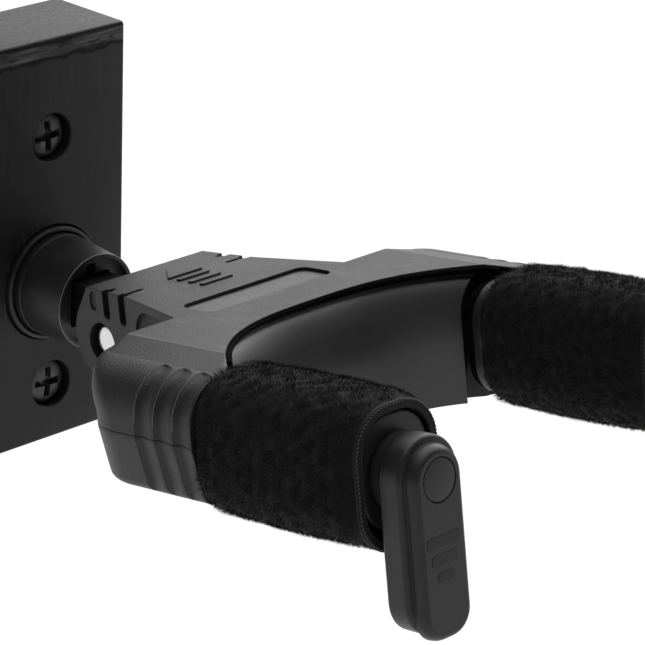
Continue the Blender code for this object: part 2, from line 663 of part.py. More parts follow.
def yoke_outlines():
    """Plan, front and side outlines whose common space is the yoke's outer form."""
    lip_points = []
    edge = LIP_RISE_HALF * ((SHOULDER_FRONT_OUT - LIP_APEX_OUT) / LIP_RISE) ** (1.0 / LIP_POWER)
    for x in spaced(edge, 0.0, LINER_STATIONS // 2 + 1):
        lip_points.append((x, lip_out(x)))
    corner = SHOULDER_CORNER_RADIUS
    half_plan = [(NECK_REAR_HALF, NECK_REAR_OUT - CHEEK_RADIUS)]
    half_plan += [(NECK_REAR_HALF, NECK_REAR_OUT), (NECK_FLARE_HALF, NECK_FLARE_OUT), (NOTCH_HALF, NOTCH_OUT)]
    half_plan += arc(SHOULDER_HALF - corner, NOTCH_OUT + corner, corner, corner, -90, 0, 8)
    half_plan += [(SHOULDER_HALF, SHOULDER_FRONT_OUT)]
    plan = mirrored(half_plan + lip_points)

    facet_up = TOP_FACE_UP - FACET_DROP
    half_front = [(CREASE_HALF, TOP_FACE_UP)]
    half_front += arc(FACET_HALF, SHOULDER_SIDE_TOP, SHOULDER_HALF - FACET_HALF, facet_up - SHOULDER_SIDE_TOP,
                      90, 0, 8)
    half_front += [(SHOULDER_HALF, SHOULDER_LEAN_UP)]
    half_front += [(SHOULDER_HALF - SHOULDER_FOOT_INSET, BODY_BOTTOM_UP + SHOULDER_FOOT_RISE)]
    half_front += [(SHOULDER_HALF - SHOULDER_EDGE_INSET, BODY_BOTTOM_UP + SHOULDER_EDGE_RISE)]
    half_front += [(SHOULDER_BOTTOM_HALF, BODY_BOTTOM_UP)]
    front = mirrored(half_front)

    side = [(NECK_REAR_OUT, TOP_FACE_UP), (SHOULDER_FRONT_OUT + OVERCUT, TOP_FACE_UP)]
    side += [(SHOULDER_FRONT_OUT + OVERCUT, BODY_BOTTOM_UP), (UNDERSIDE_FRONT_OUT, BODY_BOTTOM_UP)]
    side += [(UNDERSIDE_REAR_OUT, UNDERSIDE_REAR_UP)]
    side += arc(CHEEK_CENTRE_OUT, CHEEK_CENTRE_UP, CHEEK_RADIUS, CHEEK_RADIUS, -80, -210, 12)
    return plan, front, side


def shoulder_groove_outline(sign):
    """Band just under the shoulder's skin, from beside the crease down to the bottom."""
    facet_up = TOP_FACE_UP - FACET_DROP
    depth = SHOULDER_GROOVE_DEPTH
    inner = arc(FACET_HALF, SHOULDER_SIDE_TOP, SHOULDER_HALF - FACET_HALF - depth,
                facet_up - SHOULDER_SIDE_TOP - depth, 90, 0, 8)
    foot_half = SHOULDER_HALF - SHOULDER_FOOT_INSET - depth
    inner += [(SHOULDER_HALF - depth, SHOULDER_LEAN_UP), (foot_half, BODY_BOTTOM_UP + SHOULDER_FOOT_RISE)]
    start_up = TOP_FACE_UP + OVERCUT
    outline = [(SHOULDER_GROOVE_START_HALF, start_up)] + inner
    outline += [(foot_half, BODY_BOTTOM_UP - OVERCUT)]
    outline += [(SHOULDER_HALF + OVERCUT, BODY_BOTTOM_UP - OVERCUT), (SHOULDER_HALF + OVERCUT, start_up)]
    return [(sign * x, up) for x, up in outline]


def scoop_outline():
    """Arched recess in the neck's side: round upper rear corner, open below, shoulder in front."""
    roof = TOP_FACE_UP - SCOOP_ROOF
    floor = BODY_BOTTOM_UP - OVERCUT
    outline = [(SCOOP_REAR_OUT, floor), (NOTCH_OUT, floor), (NOTCH_OUT, roof)]
    outline += arc(SCOOP_REAR_OUT + SCOOP_RADIUS, roof - SCOOP_RADIUS, SCOOP_RADIUS, SCOOP_RADIUS, 90, 180, 6)
    return outline


def cut_yoke_hollows(shell, tag, holder):
    """Hollows shared by both shells: neck, cross bar, side scoops, arms, trims, liner seat, grooves."""
    neck = box_outline(-NECK_HOLLOW_HALF, NECK_HOLLOW_HALF, HOLLOW_BOTTOM_UP, HOLLOW_TOP_UP)
    cut(shell, prism(f"{tag}_neck_cutter", neck, "out", UNDERSIDE_REAR_OUT, CROSS_HOLLOW_FRONT_OUT, holder))
    cross = mirrored([(CROSS_HOLLOW_HALF, HOLLOW_TOP_UP), (CROSS_HOLLOW_HALF, PINION_HOLLOW_FLOOR_UP),
                      (CROSS_BAR_HALF, PINION_HOLLOW_FLOOR_UP), (CROSS_BAR_HALF, HOLLOW_BOTTOM_UP)])
    cut(shell, prism(f"{tag}_cross_cutter", cross, "out", CROSS_HOLLOW_REAR_OUT, CROSS_HOLLOW_FRONT_OUT,
                     holder))

    seat = LINER_THICKNESS + SEAT_GAP
    stations = spaced(-LINER_END_HALF - SEAT_GAP, LINER_END_HALF + SEAT_GAP, LINER_STATIONS)
    opening = [lip_offset(x, -seat) for x in stations]
    trim_seat = TRIM_REAR_OUT - SEAT_GAP
    opening += [(ARM_HALF - LINER_SEAT_SPREAD, trim_seat), (ARM_HALF, trim_seat)]
    opening += [(ARM_HALF, SHOULDER_FRONT_OUT + OVERCUT), (-ARM_HALF, SHOULDER_FRONT_OUT + OVERCUT)]
    opening += [(-ARM_HALF, trim_seat), (LINER_SEAT_SPREAD - ARM_HALF, trim_seat)]
    cut(shell, prism(f"{tag}_liner_cutter", opening, "up", BODY_BOTTOM_UP - OVERCUT, LIP_UNDER_UP, holder))

    for sign in (-1, 1):
        side = "left" if sign < 0 else "right"
        middle = sign * ARM_HALF
        low, high = sorted((sign * SCOOP_HALF, sign * (NOTCH_HALF + OVERCUT)))
        cut(shell, prism(f"{tag}_{side}_scoop_cutter", scoop_outline(), "x", low, high, holder))
        arm = rounded_box(middle - ARM_WIDTH / 2 - SEAT_GAP, middle + ARM_WIDTH / 2 + SEAT_GAP,
                          ARM_UP - ARM_HEIGHT / 2 - SEAT_GAP, ARM_UP + ARM_HEIGHT / 2 + SEAT_GAP,
                          ARM_CORNER_RADIUS + SEAT_GAP)
        cut(shell, prism(f"{tag}_{side}_arm_cutter", arm, "out", ARM_REAR_OUT - SEAT_GAP,
                         SHOULDER_FRONT_OUT + OVERCUT, holder))
        spigot = circle(middle, ARM_UP, ARM_SPIGOT_RADIUS + SEAT_GAP)
        cut(shell, prism(f"{tag}_{side}_spigot_cutter", spigot, "out", ARM_SPIGOT_REAR_OUT - SEAT_GAP,
                         ARM_REAR_OUT, holder))
        shaft = circle(middle, ARM_UP, SHAFT_RADIUS + PIN_GAP)
        cut(shell, prism(f"{tag}_{side}_shaft_cutter", shaft, "out", CROSS_HOLLOW_REAR_OUT + SEAT_GAP,
                         ARM_SPIGOT_REAR_OUT, holder))
        low, high = sorted((sign * (TRIM_INNER_HALF - SEAT_GAP), sign * (TRIM_OUTER_HALF + SEAT_GAP)))
        trim = rounded_box(low, high, TRIM_BOTTOM_UP - SEAT_GAP, TRIM_TOP_UP + SEAT_GAP,
                           TRIM_CORNER_RADIUS + SEAT_GAP)
        cut(shell, prism(f"{tag}_{side}_trim_cutter", trim, "out", TRIM_REAR_OUT - SEAT_GAP,
                         SHOULDER_FRONT_OUT + OVERCUT, holder))
        groove = shoulder_groove_outline(sign)
        for number in range(SHOULDER_GROOVE_COUNT):
            centre = SHOULDER_GROOVE_FIRST_OUT + number * SHOULDER_GROOVE_PITCH
            cut(shell, prism(f"{tag}_{side}_groove_{number}_cutter", groove, "out",
                             centre - SHOULDER_GROOVE_WIDTH / 2, centre + SHOULDER_GROOVE_WIDTH / 2, holder))
    for number, (half, out) in enumerate(SHELL_SCREW_PLACES):
        for sign in (-1, 1):
            seat_up = SHELL_SCREW_HEAD_UP + SHELL_SCREW_HEAD_LENGTH + SEAT_GAP
            space = [
                (0, BODY_BOTTOM_UP - OVERCUT),
                (SHELL_SCREW_HEAD_RADIUS + PIN_GAP, BODY_BOTTOM_UP - OVERCUT),
                (SHELL_SCREW_HEAD_RADIUS + PIN_GAP, seat_up),
                (SHELL_SCREW_RADIUS + PIN_GAP, seat_up),
                (SHELL_SCREW_RADIUS + PIN_GAP, SHELL_SCREW_TIP_UP + SEAT_GAP),
                (0, SHELL_SCREW_TIP_UP + SEAT_GAP),
            ]
            cut(shell, turned(f"{tag}_screw_{number}_{sign}_cutter", space, "up", (sign * half, out), holder,
                              SMALL_ROUND_STEPS))


def yoke_form(name, holder):
    """Outer form of the whole yoke: plan, front and side outlines meet in one solid."""
    plan, front, side = yoke_outlines()
    far = SHOULDER_FRONT_OUT + OVERCUT
    form = prism(name, plan, "up", BODY_BOTTOM_UP, TOP_FACE_UP, holder)
    facing = prism(f"{name}_front_tool", front, "out", NECK_REAR_OUT - CHEEK_RADIUS - OVERCUT, far, holder)
    shape_with(form, facing, "INTERSECT")
    profile = prism(f"{name}_side_tool", side, "x", -SHOULDER_HALF - OVERCUT, SHOULDER_HALF + OVERCUT, holder)
    shape_with(form, profile, "INTERSECT")
    return form


def build_upper_shell(holder):
    """Neck with its cheeks, flat top with the label recess, and the upper half of the shoulders."""
    shell = yoke_form("yoke_upper_shell", holder)
    wide = SHOULDER_HALF + OVERCUT
    below = box_outline(-wide, wide, PARTING_REAR_OUT, SHOULDER_FRONT_OUT + OVERCUT)
    cut(shell, prism("upper_parting_cutter", below, "up", BODY_BOTTOM_UP - OVERCUT, PARTING_UP + SEAT_GAP / 2,
                     holder))
    slot = box_outline(-NECK_HOLLOW_HALF, NECK_HOLLOW_HALF, BODY_BOTTOM_UP - OVERCUT, HOLLOW_TOP_UP)
    cut(shell, prism("tongue_slot_cutter", slot, "out", NECK_REAR_OUT - 2 * CHEEK_RADIUS,
                     PARTING_REAR_OUT + OVERCUT, holder))
    cut_yoke_hollows(shell, "upper", holder)
    label = rounded_box(-LABEL_LENGTH / 2, LABEL_LENGTH / 2, LABEL_CENTRE_OUT - LABEL_WIDTH / 2,
                        LABEL_CENTRE_OUT + LABEL_WIDTH / 2, LABEL_CORNER_RADIUS)
    cut(shell, prism("label_cutter", label, "up", TOP_FACE_UP - LABEL_RECESS_DEPTH, TOP_FACE_UP + OVERCUT,
                     holder))
    pin_space = PIN_RADIUS + PIN_GAP
    wide_neck = NECK_FLARE_HALF + OVERCUT
    cut(shell, rod("pin_cutter", pin_space, -wide_neck, wide_neck, "x", holder=holder))
    for sign in (-1, 1):
        inner = sign * (NECK_REAR_HALF - PIN_HOLE_DEPTH)
        low, high = sorted((inner, sign * wide_neck))
        cut(shell, rod(f"pin_head_{sign}_cutter", PIN_HOLE_RADIUS, low, high, "x", holder=holder))
        for number, (out, bottom, inward) in enumerate(CHEEK_GROOVES):
            surface = NECK_REAR_HALF + (NECK_FLARE_HALF - NECK_REAR_HALF) * (out - NECK_REAR_OUT) / (
                NECK_FLARE_OUT - NECK_REAR_OUT)
            radius = CHEEK_GROOVE_WIDTH / 2
            outline = arc(out, bottom + radius, radius, radius, 180, 360, 6)
            outline += [(out + radius, TOP_FACE_UP + OVERCUT), (out - radius, TOP_FACE_UP + OVERCUT)]
            low, high = sorted((sign * (surface - CHEEK_GROOVE_DEPTH), sign * wide_neck))
            cut(shell, prism(f"cheek_groove_{sign}_{number}_cutter", outline, "x", low, high, holder))
            low, high = sorted((sign * (surface - inward), sign * wide_neck))
            slot = box_outline(low, high, out - radius / 2, out + radius / 2)
            cut(shell, prism(f"top_slot_{sign}_{number}_cutter", slot, "up",
                             TOP_FACE_UP - CHEEK_TOP_SLOT_DEPTH, TOP_FACE_UP + OVERCUT, holder))
    finish(shell, "black_plastic")

    plate_low = TOP_FACE_UP - LABEL_RECESS_DEPTH + SEAT_GAP
    label_plate = rounded_box(-LABEL_LENGTH / 2 + SEAT_GAP, LABEL_LENGTH / 2 - SEAT_GAP,
                              LABEL_CENTRE_OUT - LABEL_WIDTH / 2 + SEAT_GAP,
                              LABEL_CENTRE_OUT + LABEL_WIDTH / 2 - SEAT_GAP, LABEL_CORNER_RADIUS - SEAT_GAP)
    finish(prism("label_plate", label_plate, "up", plate_low, plate_low + LABEL_PLATE_THICKNESS, holder),
           "black_plastic")


def build_lower_shell(holder):
    """Lower half of the yoke's body, and the four screws that hold the halves together."""
    shell = yoke_form("yoke_lower_shell", holder)
    wide = SHOULDER_HALF + OVERCUT
    space = box_outline(-wide, wide, PARTING_REAR_OUT + SEAT_GAP, SHOULDER_FRONT_OUT + OVERCUT)
    shape_with(shell, prism("lower_parting_tool", space, "up", BODY_BOTTOM_UP - OVERCUT,
                            PARTING_UP - SEAT_GAP / 2, holder), "INTERSECT")
    cut_yoke_hollows(shell, "lower", holder)
    finish(shell, "black_plastic")

    profile = [
        (0, SHELL_SCREW_HEAD_UP),
        (SHELL_SCREW_HEAD_RADIUS, SHELL_SCREW_HEAD_UP),
        (SHELL_SCREW_HEAD_RADIUS, SHELL_SCREW_HEAD_UP + SHELL_SCREW_HEAD_LENGTH),
        (SHELL_SCREW_RADIUS, SHELL_SCREW_HEAD_UP + SHELL_SCREW_HEAD_LENGTH),
        (SHELL_SCREW_RADIUS, SHELL_SCREW_TIP_UP),
        (0, SHELL_SCREW_TIP_UP),
    ]
    for row, (half, out) in zip(("rear", "front"), SHELL_SCREW_PLACES):
        for side, sign in (("left", -1), ("right", 1)):
            screw = turned(f"{side}_{row}_shell_screw", profile, "up", (sign * half, out), holder,
                           SMALL_ROUND_STEPS)
            cross_cut(screw, screw.name, "up", (sign * half, out), SHELL_SCREW_HEAD_UP,
                      SHELL_SCREW_SLOT_LENGTH, SHELL_SCREW_SLOT_WIDTH, -SHELL_SCREW_SLOT_DEPTH, holder)
            finish(screw, "black_screw")


def build_liner(holder):
    """Rubber lining of the neck opening: upright back, face leaning in towards the bottom."""
    rings = []
    for x in spaced(-LINER_END_HALF, LINER_END_HALF, LINER_STATIONS):
        ring = []
        for share in spaced(0.0, 1.0, LINER_FACE_STEPS):
            lean = LINER_DRAFT * share ** LINER_LEAN_POWER
            a, out = lip_offset(x, lean)
            ring.append((a, out, LINER_TOP_UP + (LINER_BOTTOM_UP - LINER_TOP_UP) * share))
        a, out = lip_offset(x, -LINER_THICKNESS)
        ring.append((a, out, LINER_BOTTOM_UP))
        ring.append((a, out, LINER_TOP_UP))
        rings.append(ring)
    return finish(loft("neck_liner", rings, holder), "black_rubber")


def build_pin(holder):
    """Bright pivot pin with a round head, the clip on its far end and the return spring."""
    head_face = -(NECK_REAR_HALF - PIN_HOLE_DEPTH + SEAT_GAP + PIN_HEAD_LENGTH)
    head_seat = -(NECK_REAR_HALF - PIN_HOLE_DEPTH + SEAT_GAP)
    far_seat = NECK_REAR_HALF - PIN_HOLE_DEPTH + SEAT_GAP
    pin_tip = far_seat + CLIP_THICKNESS + SEAT_GAP
    profile = [
        (0, head_face),
        (PIN_HEAD_RADIUS - PIN_HEAD_CHAMFER, head_face),
        (PIN_HEAD_RADIUS, head_face + PIN_HEAD_CHAMFER),
        (PIN_HEAD_RADIUS, head_seat),
        (PIN_RADIUS, head_seat),
        (PIN_RADIUS, pin_tip),
        (0, pin_tip),
    ]
    finish(turned("pivot_pin", profile, "x", holder=holder), "bright_steel")
    clip = tube("pivot_clip", PIN_RADIUS + SEAT_GAP, PIN_HOLE_RADIUS - SEAT_GAP, far_seat,
                far_seat + CLIP_THICKNESS, "x", holder=holder)
    finish(clip, "bright_steel")
    build_return_spring(holder)


def build_return_spring(holder):
    """Torsion spring round the pin, one unbroken wire from leg to leg."""
    steps = int(SPRING_TURNS * SPRING_POINTS_PER_TURN)
    start_x = -NECK_HOLLOW_HALF + SEAT_GAP + SPRING_WIRE_RADIUS
    path = []
    for step in range(steps + 1):
        angle = 2.0 * math.pi * step / SPRING_POINTS_PER_TURN
        path.append((start_x + SPRING_PITCH * step / SPRING_POINTS_PER_TURN,
                     SPRING_COIL_RADIUS * math.sin(angle), SPRING_COIL_RADIUS * math.cos(angle)))
    first, last = path[0], path[-1]
    end_angle = 2.0 * math.pi * SPRING_TURNS
    lead_in = [(first[0], first[1] - length, first[2])
               for length in (SPRING_LEG_LENGTH / 2, SPRING_LEG_LENGTH / 6)]
    lead_out = [(last[0], last[1] + math.cos(end_angle) * length, last[2] - math.sin(end_angle) * length)
                for length in (SPRING_LEG_LENGTH / 6, SPRING_LEG_LENGTH / 2)]
    path = lead_in + path + lead_out
    least = least_self_gap(path, SPRING_POINTS_PER_TURN // 2) - 2.0 * SPRING_WIRE_RADIUS
    print(f"return_spring least gap to itself {least:.2f} mm")
    sides = 6
    rings = []
    for index, point in enumerate(path):
        before = path[max(index - 1, 0)]
        after = path[min(index + 1, len(path) - 1)]
        ahead = [b - a for a, b in zip(before, after)]
        length = math.sqrt(sum(value * value for value in ahead))
        ahead = [value / length for value in ahead]
        across = (1.0 - ahead[0] ** 2, -ahead[0] * ahead[1], -ahead[0] * ahead[2])
        length = math.sqrt(sum(value * value for value in across))
        across = [value / length for value in across]
        lift = [ahead[1] * across[2] - ahead[2] * across[1], ahead[2] * across[0] - ahead[0] * across[2],
                ahead[0] * across[1] - ahead[1] * across[0]]
        ring = []
        for side in range(sides):
            angle = 2.0 * math.pi * side / sides
            ring.append(tuple(p + SPRING_WIRE_RADIUS * (math.cos(angle) * a + math.sin(angle) * b)
                              for p, a, b in zip(point, across, lift)))
        rings.append(ring)
    finish(loft("return_spring", rings, holder), "bright_steel")


def least_self_gap(path, apart):
    """Least distance between two points of a path that lie at least a number of points apart."""
    least = math.inf
    for index, point in enumerate(path):
        for other in path[index + apart:]:
            least = min(least, math.dist(point, other))
    return least


def build_arm(side, sign, holder):
    """Arm tube with its trim collar, two bushes and the plush sleeve."""
    middle = sign * ARM_HALF
    section = rounded_box(middle - ARM_WIDTH / 2, middle + ARM_WIDTH / 2, ARM_UP - ARM_HEIGHT / 2,
                          ARM_UP + ARM_HEIGHT / 2, ARM_CORNER_RADIUS)
    arm = prism(f"{side}_arm_tube", section, "out", ARM_REAR_OUT, ARM_TIP_OUT, holder)
    shape_with(arm, rod(f"{side}_arm_spigot_tool", ARM_SPIGOT_RADIUS, ARM_SPIGOT_REAR_OUT,
                        ARM_REAR_OUT + OVERCUT, centre=(middle, ARM_UP), holder=holder), "UNION")
    bore = circle(middle, ARM_UP, ARM_BORE_RADIUS)
    cut(arm, prism(f"{side}_arm_bore_cutter", bore, "out", ARM_SPIGOT_REAR_OUT - OVERCUT,
                   ARM_TIP_OUT + OVERCUT, holder))
    finish(arm, "black_plastic")

    low, high = sorted((sign * TRIM_INNER_HALF, sign * TRIM_OUTER_HALF))
    outline = rounded_box(low, high, TRIM_BOTTOM_UP, TRIM_TOP_UP, TRIM_CORNER_RADIUS)
    trim = prism(f"{side}_arm_trim", outline, "out", TRIM_REAR_OUT, TRIM_FRONT_OUT, holder)
    hole = rounded_box(middle - ARM_WIDTH / 2 - SEAT_GAP, middle + ARM_WIDTH / 2 + SEAT_GAP,
                       ARM_UP - ARM_HEIGHT / 2 - SEAT_GAP, ARM_UP + ARM_HEIGHT / 2 + SEAT_GAP,
                       ARM_CORNER_RADIUS + SEAT_GAP)
    cut(trim, prism(f"{side}_trim_hole_cutter", hole, "out", TRIM_REAR_OUT - OVERCUT,
                    TRIM_FRONT_OUT + OVERCUT, holder))
    finish(trim, "black_plastic")

    for name, rear in (("rear", ARM_SPIGOT_REAR_OUT), ("front", ARM_TIP_OUT - ARM_BUSH_LENGTH)):
        bush = tube(f"{side}_{name}_bush", SHAFT_RADIUS + PIN_GAP, ARM_BORE_RADIUS - SEAT_GAP, rear,
                    rear + ARM_BUSH_LENGTH, centre=(middle, ARM_UP), holder=holder)
        finish(bush, "acetal")

    rings = []
    for turn in spaced(0.0, math.pi, SLEEVE_STATIONS):
        # Stations crowd towards both ends, where the plush is drawn in
        share = (1.0 - math.cos(turn)) / 2
        out = SLEEVE_REAR_OUT + (SLEEVE_FRONT_OUT - SLEEVE_REAR_OUT) * share
        crown = SLEEVE_CROWN * math.sin(math.pi * share)
        hem = max(0.0, 1.0 - (SLEEVE_FRONT_OUT - out) / SLEEVE_HEM_LENGTH)
        rear = max(0.0, 1.0 - (out - SLEEVE_REAR_OUT) / SLEEVE_REAR_LENGTH)
        grow = crown - SLEEVE_HEM_DRAW * hem ** 2 - SLEEVE_REAR_DRAW * rear ** 2
        half_width = SLEEVE_WIDTH / 2 + grow
        half_height = SLEEVE_HEIGHT / 2 + grow
        outline = rounded_box(middle - half_width, middle + half_width, ARM_UP - half_height,
                              ARM_UP + half_height, SLEEVE_CORNER_RADIUS + grow)
        rings.append([(x, out, up) for x, up in outline])
    sleeve = loft(f"{side}_sleeve", rings, holder)
    cut(sleeve, prism(f"{side}_sleeve_hole_cutter", hole, "out", SLEEVE_REAR_OUT - OVERCUT,
                      SLEEVE_FRONT_OUT + OVERCUT, holder))
    finish(sleeve, "black_plush")


def lever_outline(inset, drop):
    """Lever seen from the front: round top about the shaft, toe with round corners."""
    half = LEVER_HALF_WIDTH - inset
    toe = max(LEVER_TOE_RADIUS - inset, LEVER_EDGE_RADIUS)
    bottom = -drop + inset
    points = arc(0.0, 0.0, half, half, 0, 180, 12)
    points += arc(-half + toe, bottom + toe, toe, toe, 180, 270, 5)
    points += arc(half - toe, bottom + toe, toe, toe, 270, 360, 5)
    return points


def build_lock(side, sign, holder):
    """One lock: stepped shaft, pinion, lever, its screw and the round cap over the screw."""
    tail_seat = PINION_OUT + PINION_WIDTH / 2 + SEAT_GAP
    shaft_profile = [
        (0, SHAFT_REAR_OUT),
        (SHAFT_TAIL_RADIUS, SHAFT_REAR_OUT),
        (SHAFT_TAIL_RADIUS, max(tail_seat, SHAFT_STEP_OUT)),
        (SHAFT_RADIUS, max(tail_seat, SHAFT_STEP_OUT)),
        (SHAFT_RADIUS, SHAFT_TIP_OUT),
        (0, SHAFT_TIP_OUT),
    ]
    shaft = turned(f"{side}_lock_shaft", shaft_profile, holder=holder)
    thread_floor = SHAFT_TIP_OUT - LEVER_SCREW_LENGTH
    cut(shaft, rod(f"{side}_shaft_thread_cutter", LEVER_SCREW_RADIUS + PIN_GAP, thread_floor,
                   SHAFT_TIP_OUT + OVERCUT, holder=holder, steps=SMALL_ROUND_STEPS))
    finish(shaft, "painted_steel")
    build_pinion(side, sign, holder)

    pad_drop = LEVER_DROP + LEVER_PAD_INSET + LEVER_PAD_TOE
    profile = [
        (LEVER_BODY_OUT, LEVER_EDGE_RADIUS, LEVER_DROP),
        (LEVER_BODY_OUT + LEVER_EDGE_RADIUS, 0.0, LEVER_DROP),
        (LEVER_PAD_OUT - LEVER_EDGE_RADIUS, 0.0, LEVER_DROP),
        (LEVER_PAD_OUT, LEVER_EDGE_RADIUS, LEVER_DROP),
        (LEVER_PAD_OUT + LEVER_PAD_STEP, LEVER_PAD_INSET, pad_drop),
        (LEVER_FRONT_OUT - LEVER_EDGE_RADIUS, LEVER_PAD_INSET + LEVER_PAD_DRAFT, pad_drop),
        (LEVER_FRONT_OUT, LEVER_PAD_INSET + LEVER_PAD_DRAFT + LEVER_EDGE_RADIUS, pad_drop),
    ]
    rings = [[(x, out, up) for x, up in lever_outline(inset, drop)] for out, inset, drop in profile]
    lever = loft(f"{side}_lever", rings, holder)
    hub = rod(f"{side}_lever_hub_tool", LEVER_HUB_RADIUS, LEVER_REAR_OUT, LEVER_BODY_OUT + OVERCUT,
              holder=holder)
    shape_with(lever, hub, "UNION")
    space = [
        (0, LEVER_REAR_OUT - OVERCUT),
        (SHAFT_RADIUS + SEAT_GAP, LEVER_REAR_OUT - OVERCUT),
        (SHAFT_RADIUS + SEAT_GAP, SHAFT_TIP_OUT + SEAT_GAP),
        (LEVER_SCREW_RADIUS + PIN_GAP, SHAFT_TIP_OUT + SEAT_GAP),
        (LEVER_SCREW_RADIUS + PIN_GAP, LEVER_SCREW_SEAT_OUT),
        (LEVER_SCREW_HEAD_RADIUS + PIN_GAP, LEVER_SCREW_SEAT_OUT),
        (LEVER_SCREW_HEAD_RADIUS + PIN_GAP, CAP_FLOOR_OUT),
        (CAP_RADIUS + SEAT_GAP, CAP_FLOOR_OUT),
        (CAP_RADIUS + SEAT_GAP, LEVER_FRONT_OUT + OVERCUT),
        (0, LEVER_FRONT_OUT + OVERCUT),
    ]
    cut(lever, turned(f"{side}_lever_bore_cutter", space, holder=holder))
    finish(lever, "black_plastic")

    head_rear = LEVER_SCREW_SEAT_OUT + SEAT_GAP
    screw_profile = [
        (0, thread_floor + SEAT_GAP),
        (LEVER_SCREW_RADIUS, thread_floor + SEAT_GAP),
        (LEVER_SCREW_RADIUS, head_rear),
        (LEVER_SCREW_HEAD_RADIUS, head_rear),
        (LEVER_SCREW_HEAD_RADIUS, CAP_FLOOR_OUT - SEAT_GAP / 2),
        (0, CAP_FLOOR_OUT - SEAT_GAP / 2),
    ]
    screw = turned(f"{side}_lever_screw", screw_profile, holder=holder, steps=SMALL_ROUND_STEPS)
    finish(screw, "bright_steel")
    cap = rod(f"{side}_lever_cap", CAP_RADIUS, LEVER_FRONT_OUT - CAP_THICKNESS, LEVER_FRONT_OUT,
              holder=holder)
    finish(cap, "black_plastic")


def build_pinion(side, sign, holder):
    """Small gear on the shaft's tail with a tooth pointing at the rack when the lever hangs down."""
    root = PINION_RADIUS - TOOTH_DEDENDUM
    tip = PINION_RADIUS + TOOTH_ADDENDUM
    outline = []
    towards_rack = 180.0 if sign > 0 else 0.0
    for tooth in range(PINION_TEETH):
        middle = math.radians(towards_rack + 360.0 * tooth / PINION_TEETH)
        for radius, width, edge in ((root, TOOTH_ROOT_WIDTH, -1), (tip, TOOTH_TIP_WIDTH, -1),
                                    (tip, TOOTH_TIP_WIDTH, 1), (root, TOOTH_ROOT_WIDTH, 1)):
            angle = middle + edge * width / 2 / radius
            outline.append((radius * math.cos(angle), radius * math.sin(angle)))
    rear = PINION_OUT - PINION_WIDTH / 2
    pinion = prism(f"{side}_pinion", outline, "out", rear, rear + PINION_WIDTH, holder)
    cut(pinion, rod(f"{side}_pinion_bore_cutter", SHAFT_TAIL_RADIUS + SEAT_GAP, rear - OVERCUT,
                    rear + PINION_WIDTH + OVERCUT, holder=holder, steps=SMALL_ROUND_STEPS))
    finish(pinion, "acetal")


def main():
    """Empties the scene and builds every piece on the axis that carries it."""
    for thing in list(bpy.data.objects):
        bpy.data.objects.remove(thing, do_unlink=True)
    build_wall_plate()
    build_wall_screws()
    build_base_ring()
    swivel_axis = empty("swivel_axis", (0.0, 0.0, 0.0))
    build_swivel(swivel_axis)
    build_rack_bar(swivel_axis)
    yoke_axis = empty("yoke_axis", (0.0, PIVOT_OUT, PIVOT_UP), YOKE_PITCH, swivel_axis)
    build_upper_shell(yoke_axis)
    build_lower_shell(yoke_axis)
    build_liner(yoke_axis)
    build_pin(yoke_axis)
    for side, sign in (("left", -1), ("right", 1)):
        build_arm(side, sign, yoke_axis)
        lock_axis = empty(f"{side}_lock_axis", (sign * ARM_HALF, 0.0, ARM_UP), 0.0, yoke_axis)
        build_lock(side, sign, lock_axis)


main()
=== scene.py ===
"""Looks of a wall guitar hanger: stained plate, swivel collar, moulded yoke, plush arms and levers.

Shapes are written in millimetres as (x, out, up): x to the right seen from the room, out away from
the wall, up is up. Yoke shapes use the same three in the yoke's pitched frame, from its pivot.
"""

import json
import math

import bmesh
import bpy
import numpy as np
from mathutils import Matrix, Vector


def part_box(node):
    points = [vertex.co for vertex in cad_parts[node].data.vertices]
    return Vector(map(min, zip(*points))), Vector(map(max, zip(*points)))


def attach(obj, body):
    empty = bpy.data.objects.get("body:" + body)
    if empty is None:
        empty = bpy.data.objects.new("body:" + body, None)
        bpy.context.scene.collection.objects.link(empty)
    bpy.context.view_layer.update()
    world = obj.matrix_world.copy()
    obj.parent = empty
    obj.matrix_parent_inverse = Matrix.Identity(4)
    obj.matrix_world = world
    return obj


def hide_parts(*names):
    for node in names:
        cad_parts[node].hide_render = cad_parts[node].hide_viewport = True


bl_info = {
    "name": "Wall guitar hanger",
    "version": (1, 0, 0),
    "blender": (4, 5, 0),
    "location": "View3D > Sidebar > Hanger",
    "description": "Dresses the packed hanger: wood, moulded plastic, rubber, plush and steel",
    "category": "Object",
}

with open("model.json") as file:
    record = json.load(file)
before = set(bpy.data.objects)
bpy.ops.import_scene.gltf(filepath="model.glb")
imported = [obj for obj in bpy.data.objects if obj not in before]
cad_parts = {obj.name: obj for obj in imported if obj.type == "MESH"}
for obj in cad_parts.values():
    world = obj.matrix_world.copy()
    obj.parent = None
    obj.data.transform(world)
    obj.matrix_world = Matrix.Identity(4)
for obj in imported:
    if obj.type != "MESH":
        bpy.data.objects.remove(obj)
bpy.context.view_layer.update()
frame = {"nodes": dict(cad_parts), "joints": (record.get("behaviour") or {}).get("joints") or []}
MM = 0.001
WELD = 1e-7

# Yoke's pivot and rest pitch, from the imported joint
TILT = next(joint for joint in frame["joints"] if joint["name"] == "yoke_tilt")
PIVOT_OUT = -TILT["pos_m"][1] / MM
PIVOT_UP = TILT["pos_m"][2] / MM
PITCH = math.radians(TILT["range_deg"][1])

# Cutting tools: how far they reach past what they cut, and places that lie past the whole yoke
PAST = 1.0
PAST_HALF = 60.0
PAST_OUT = 70.0
PAST_NECK_OUT = -25.0
PAST_FRONT_OUT = 61.0

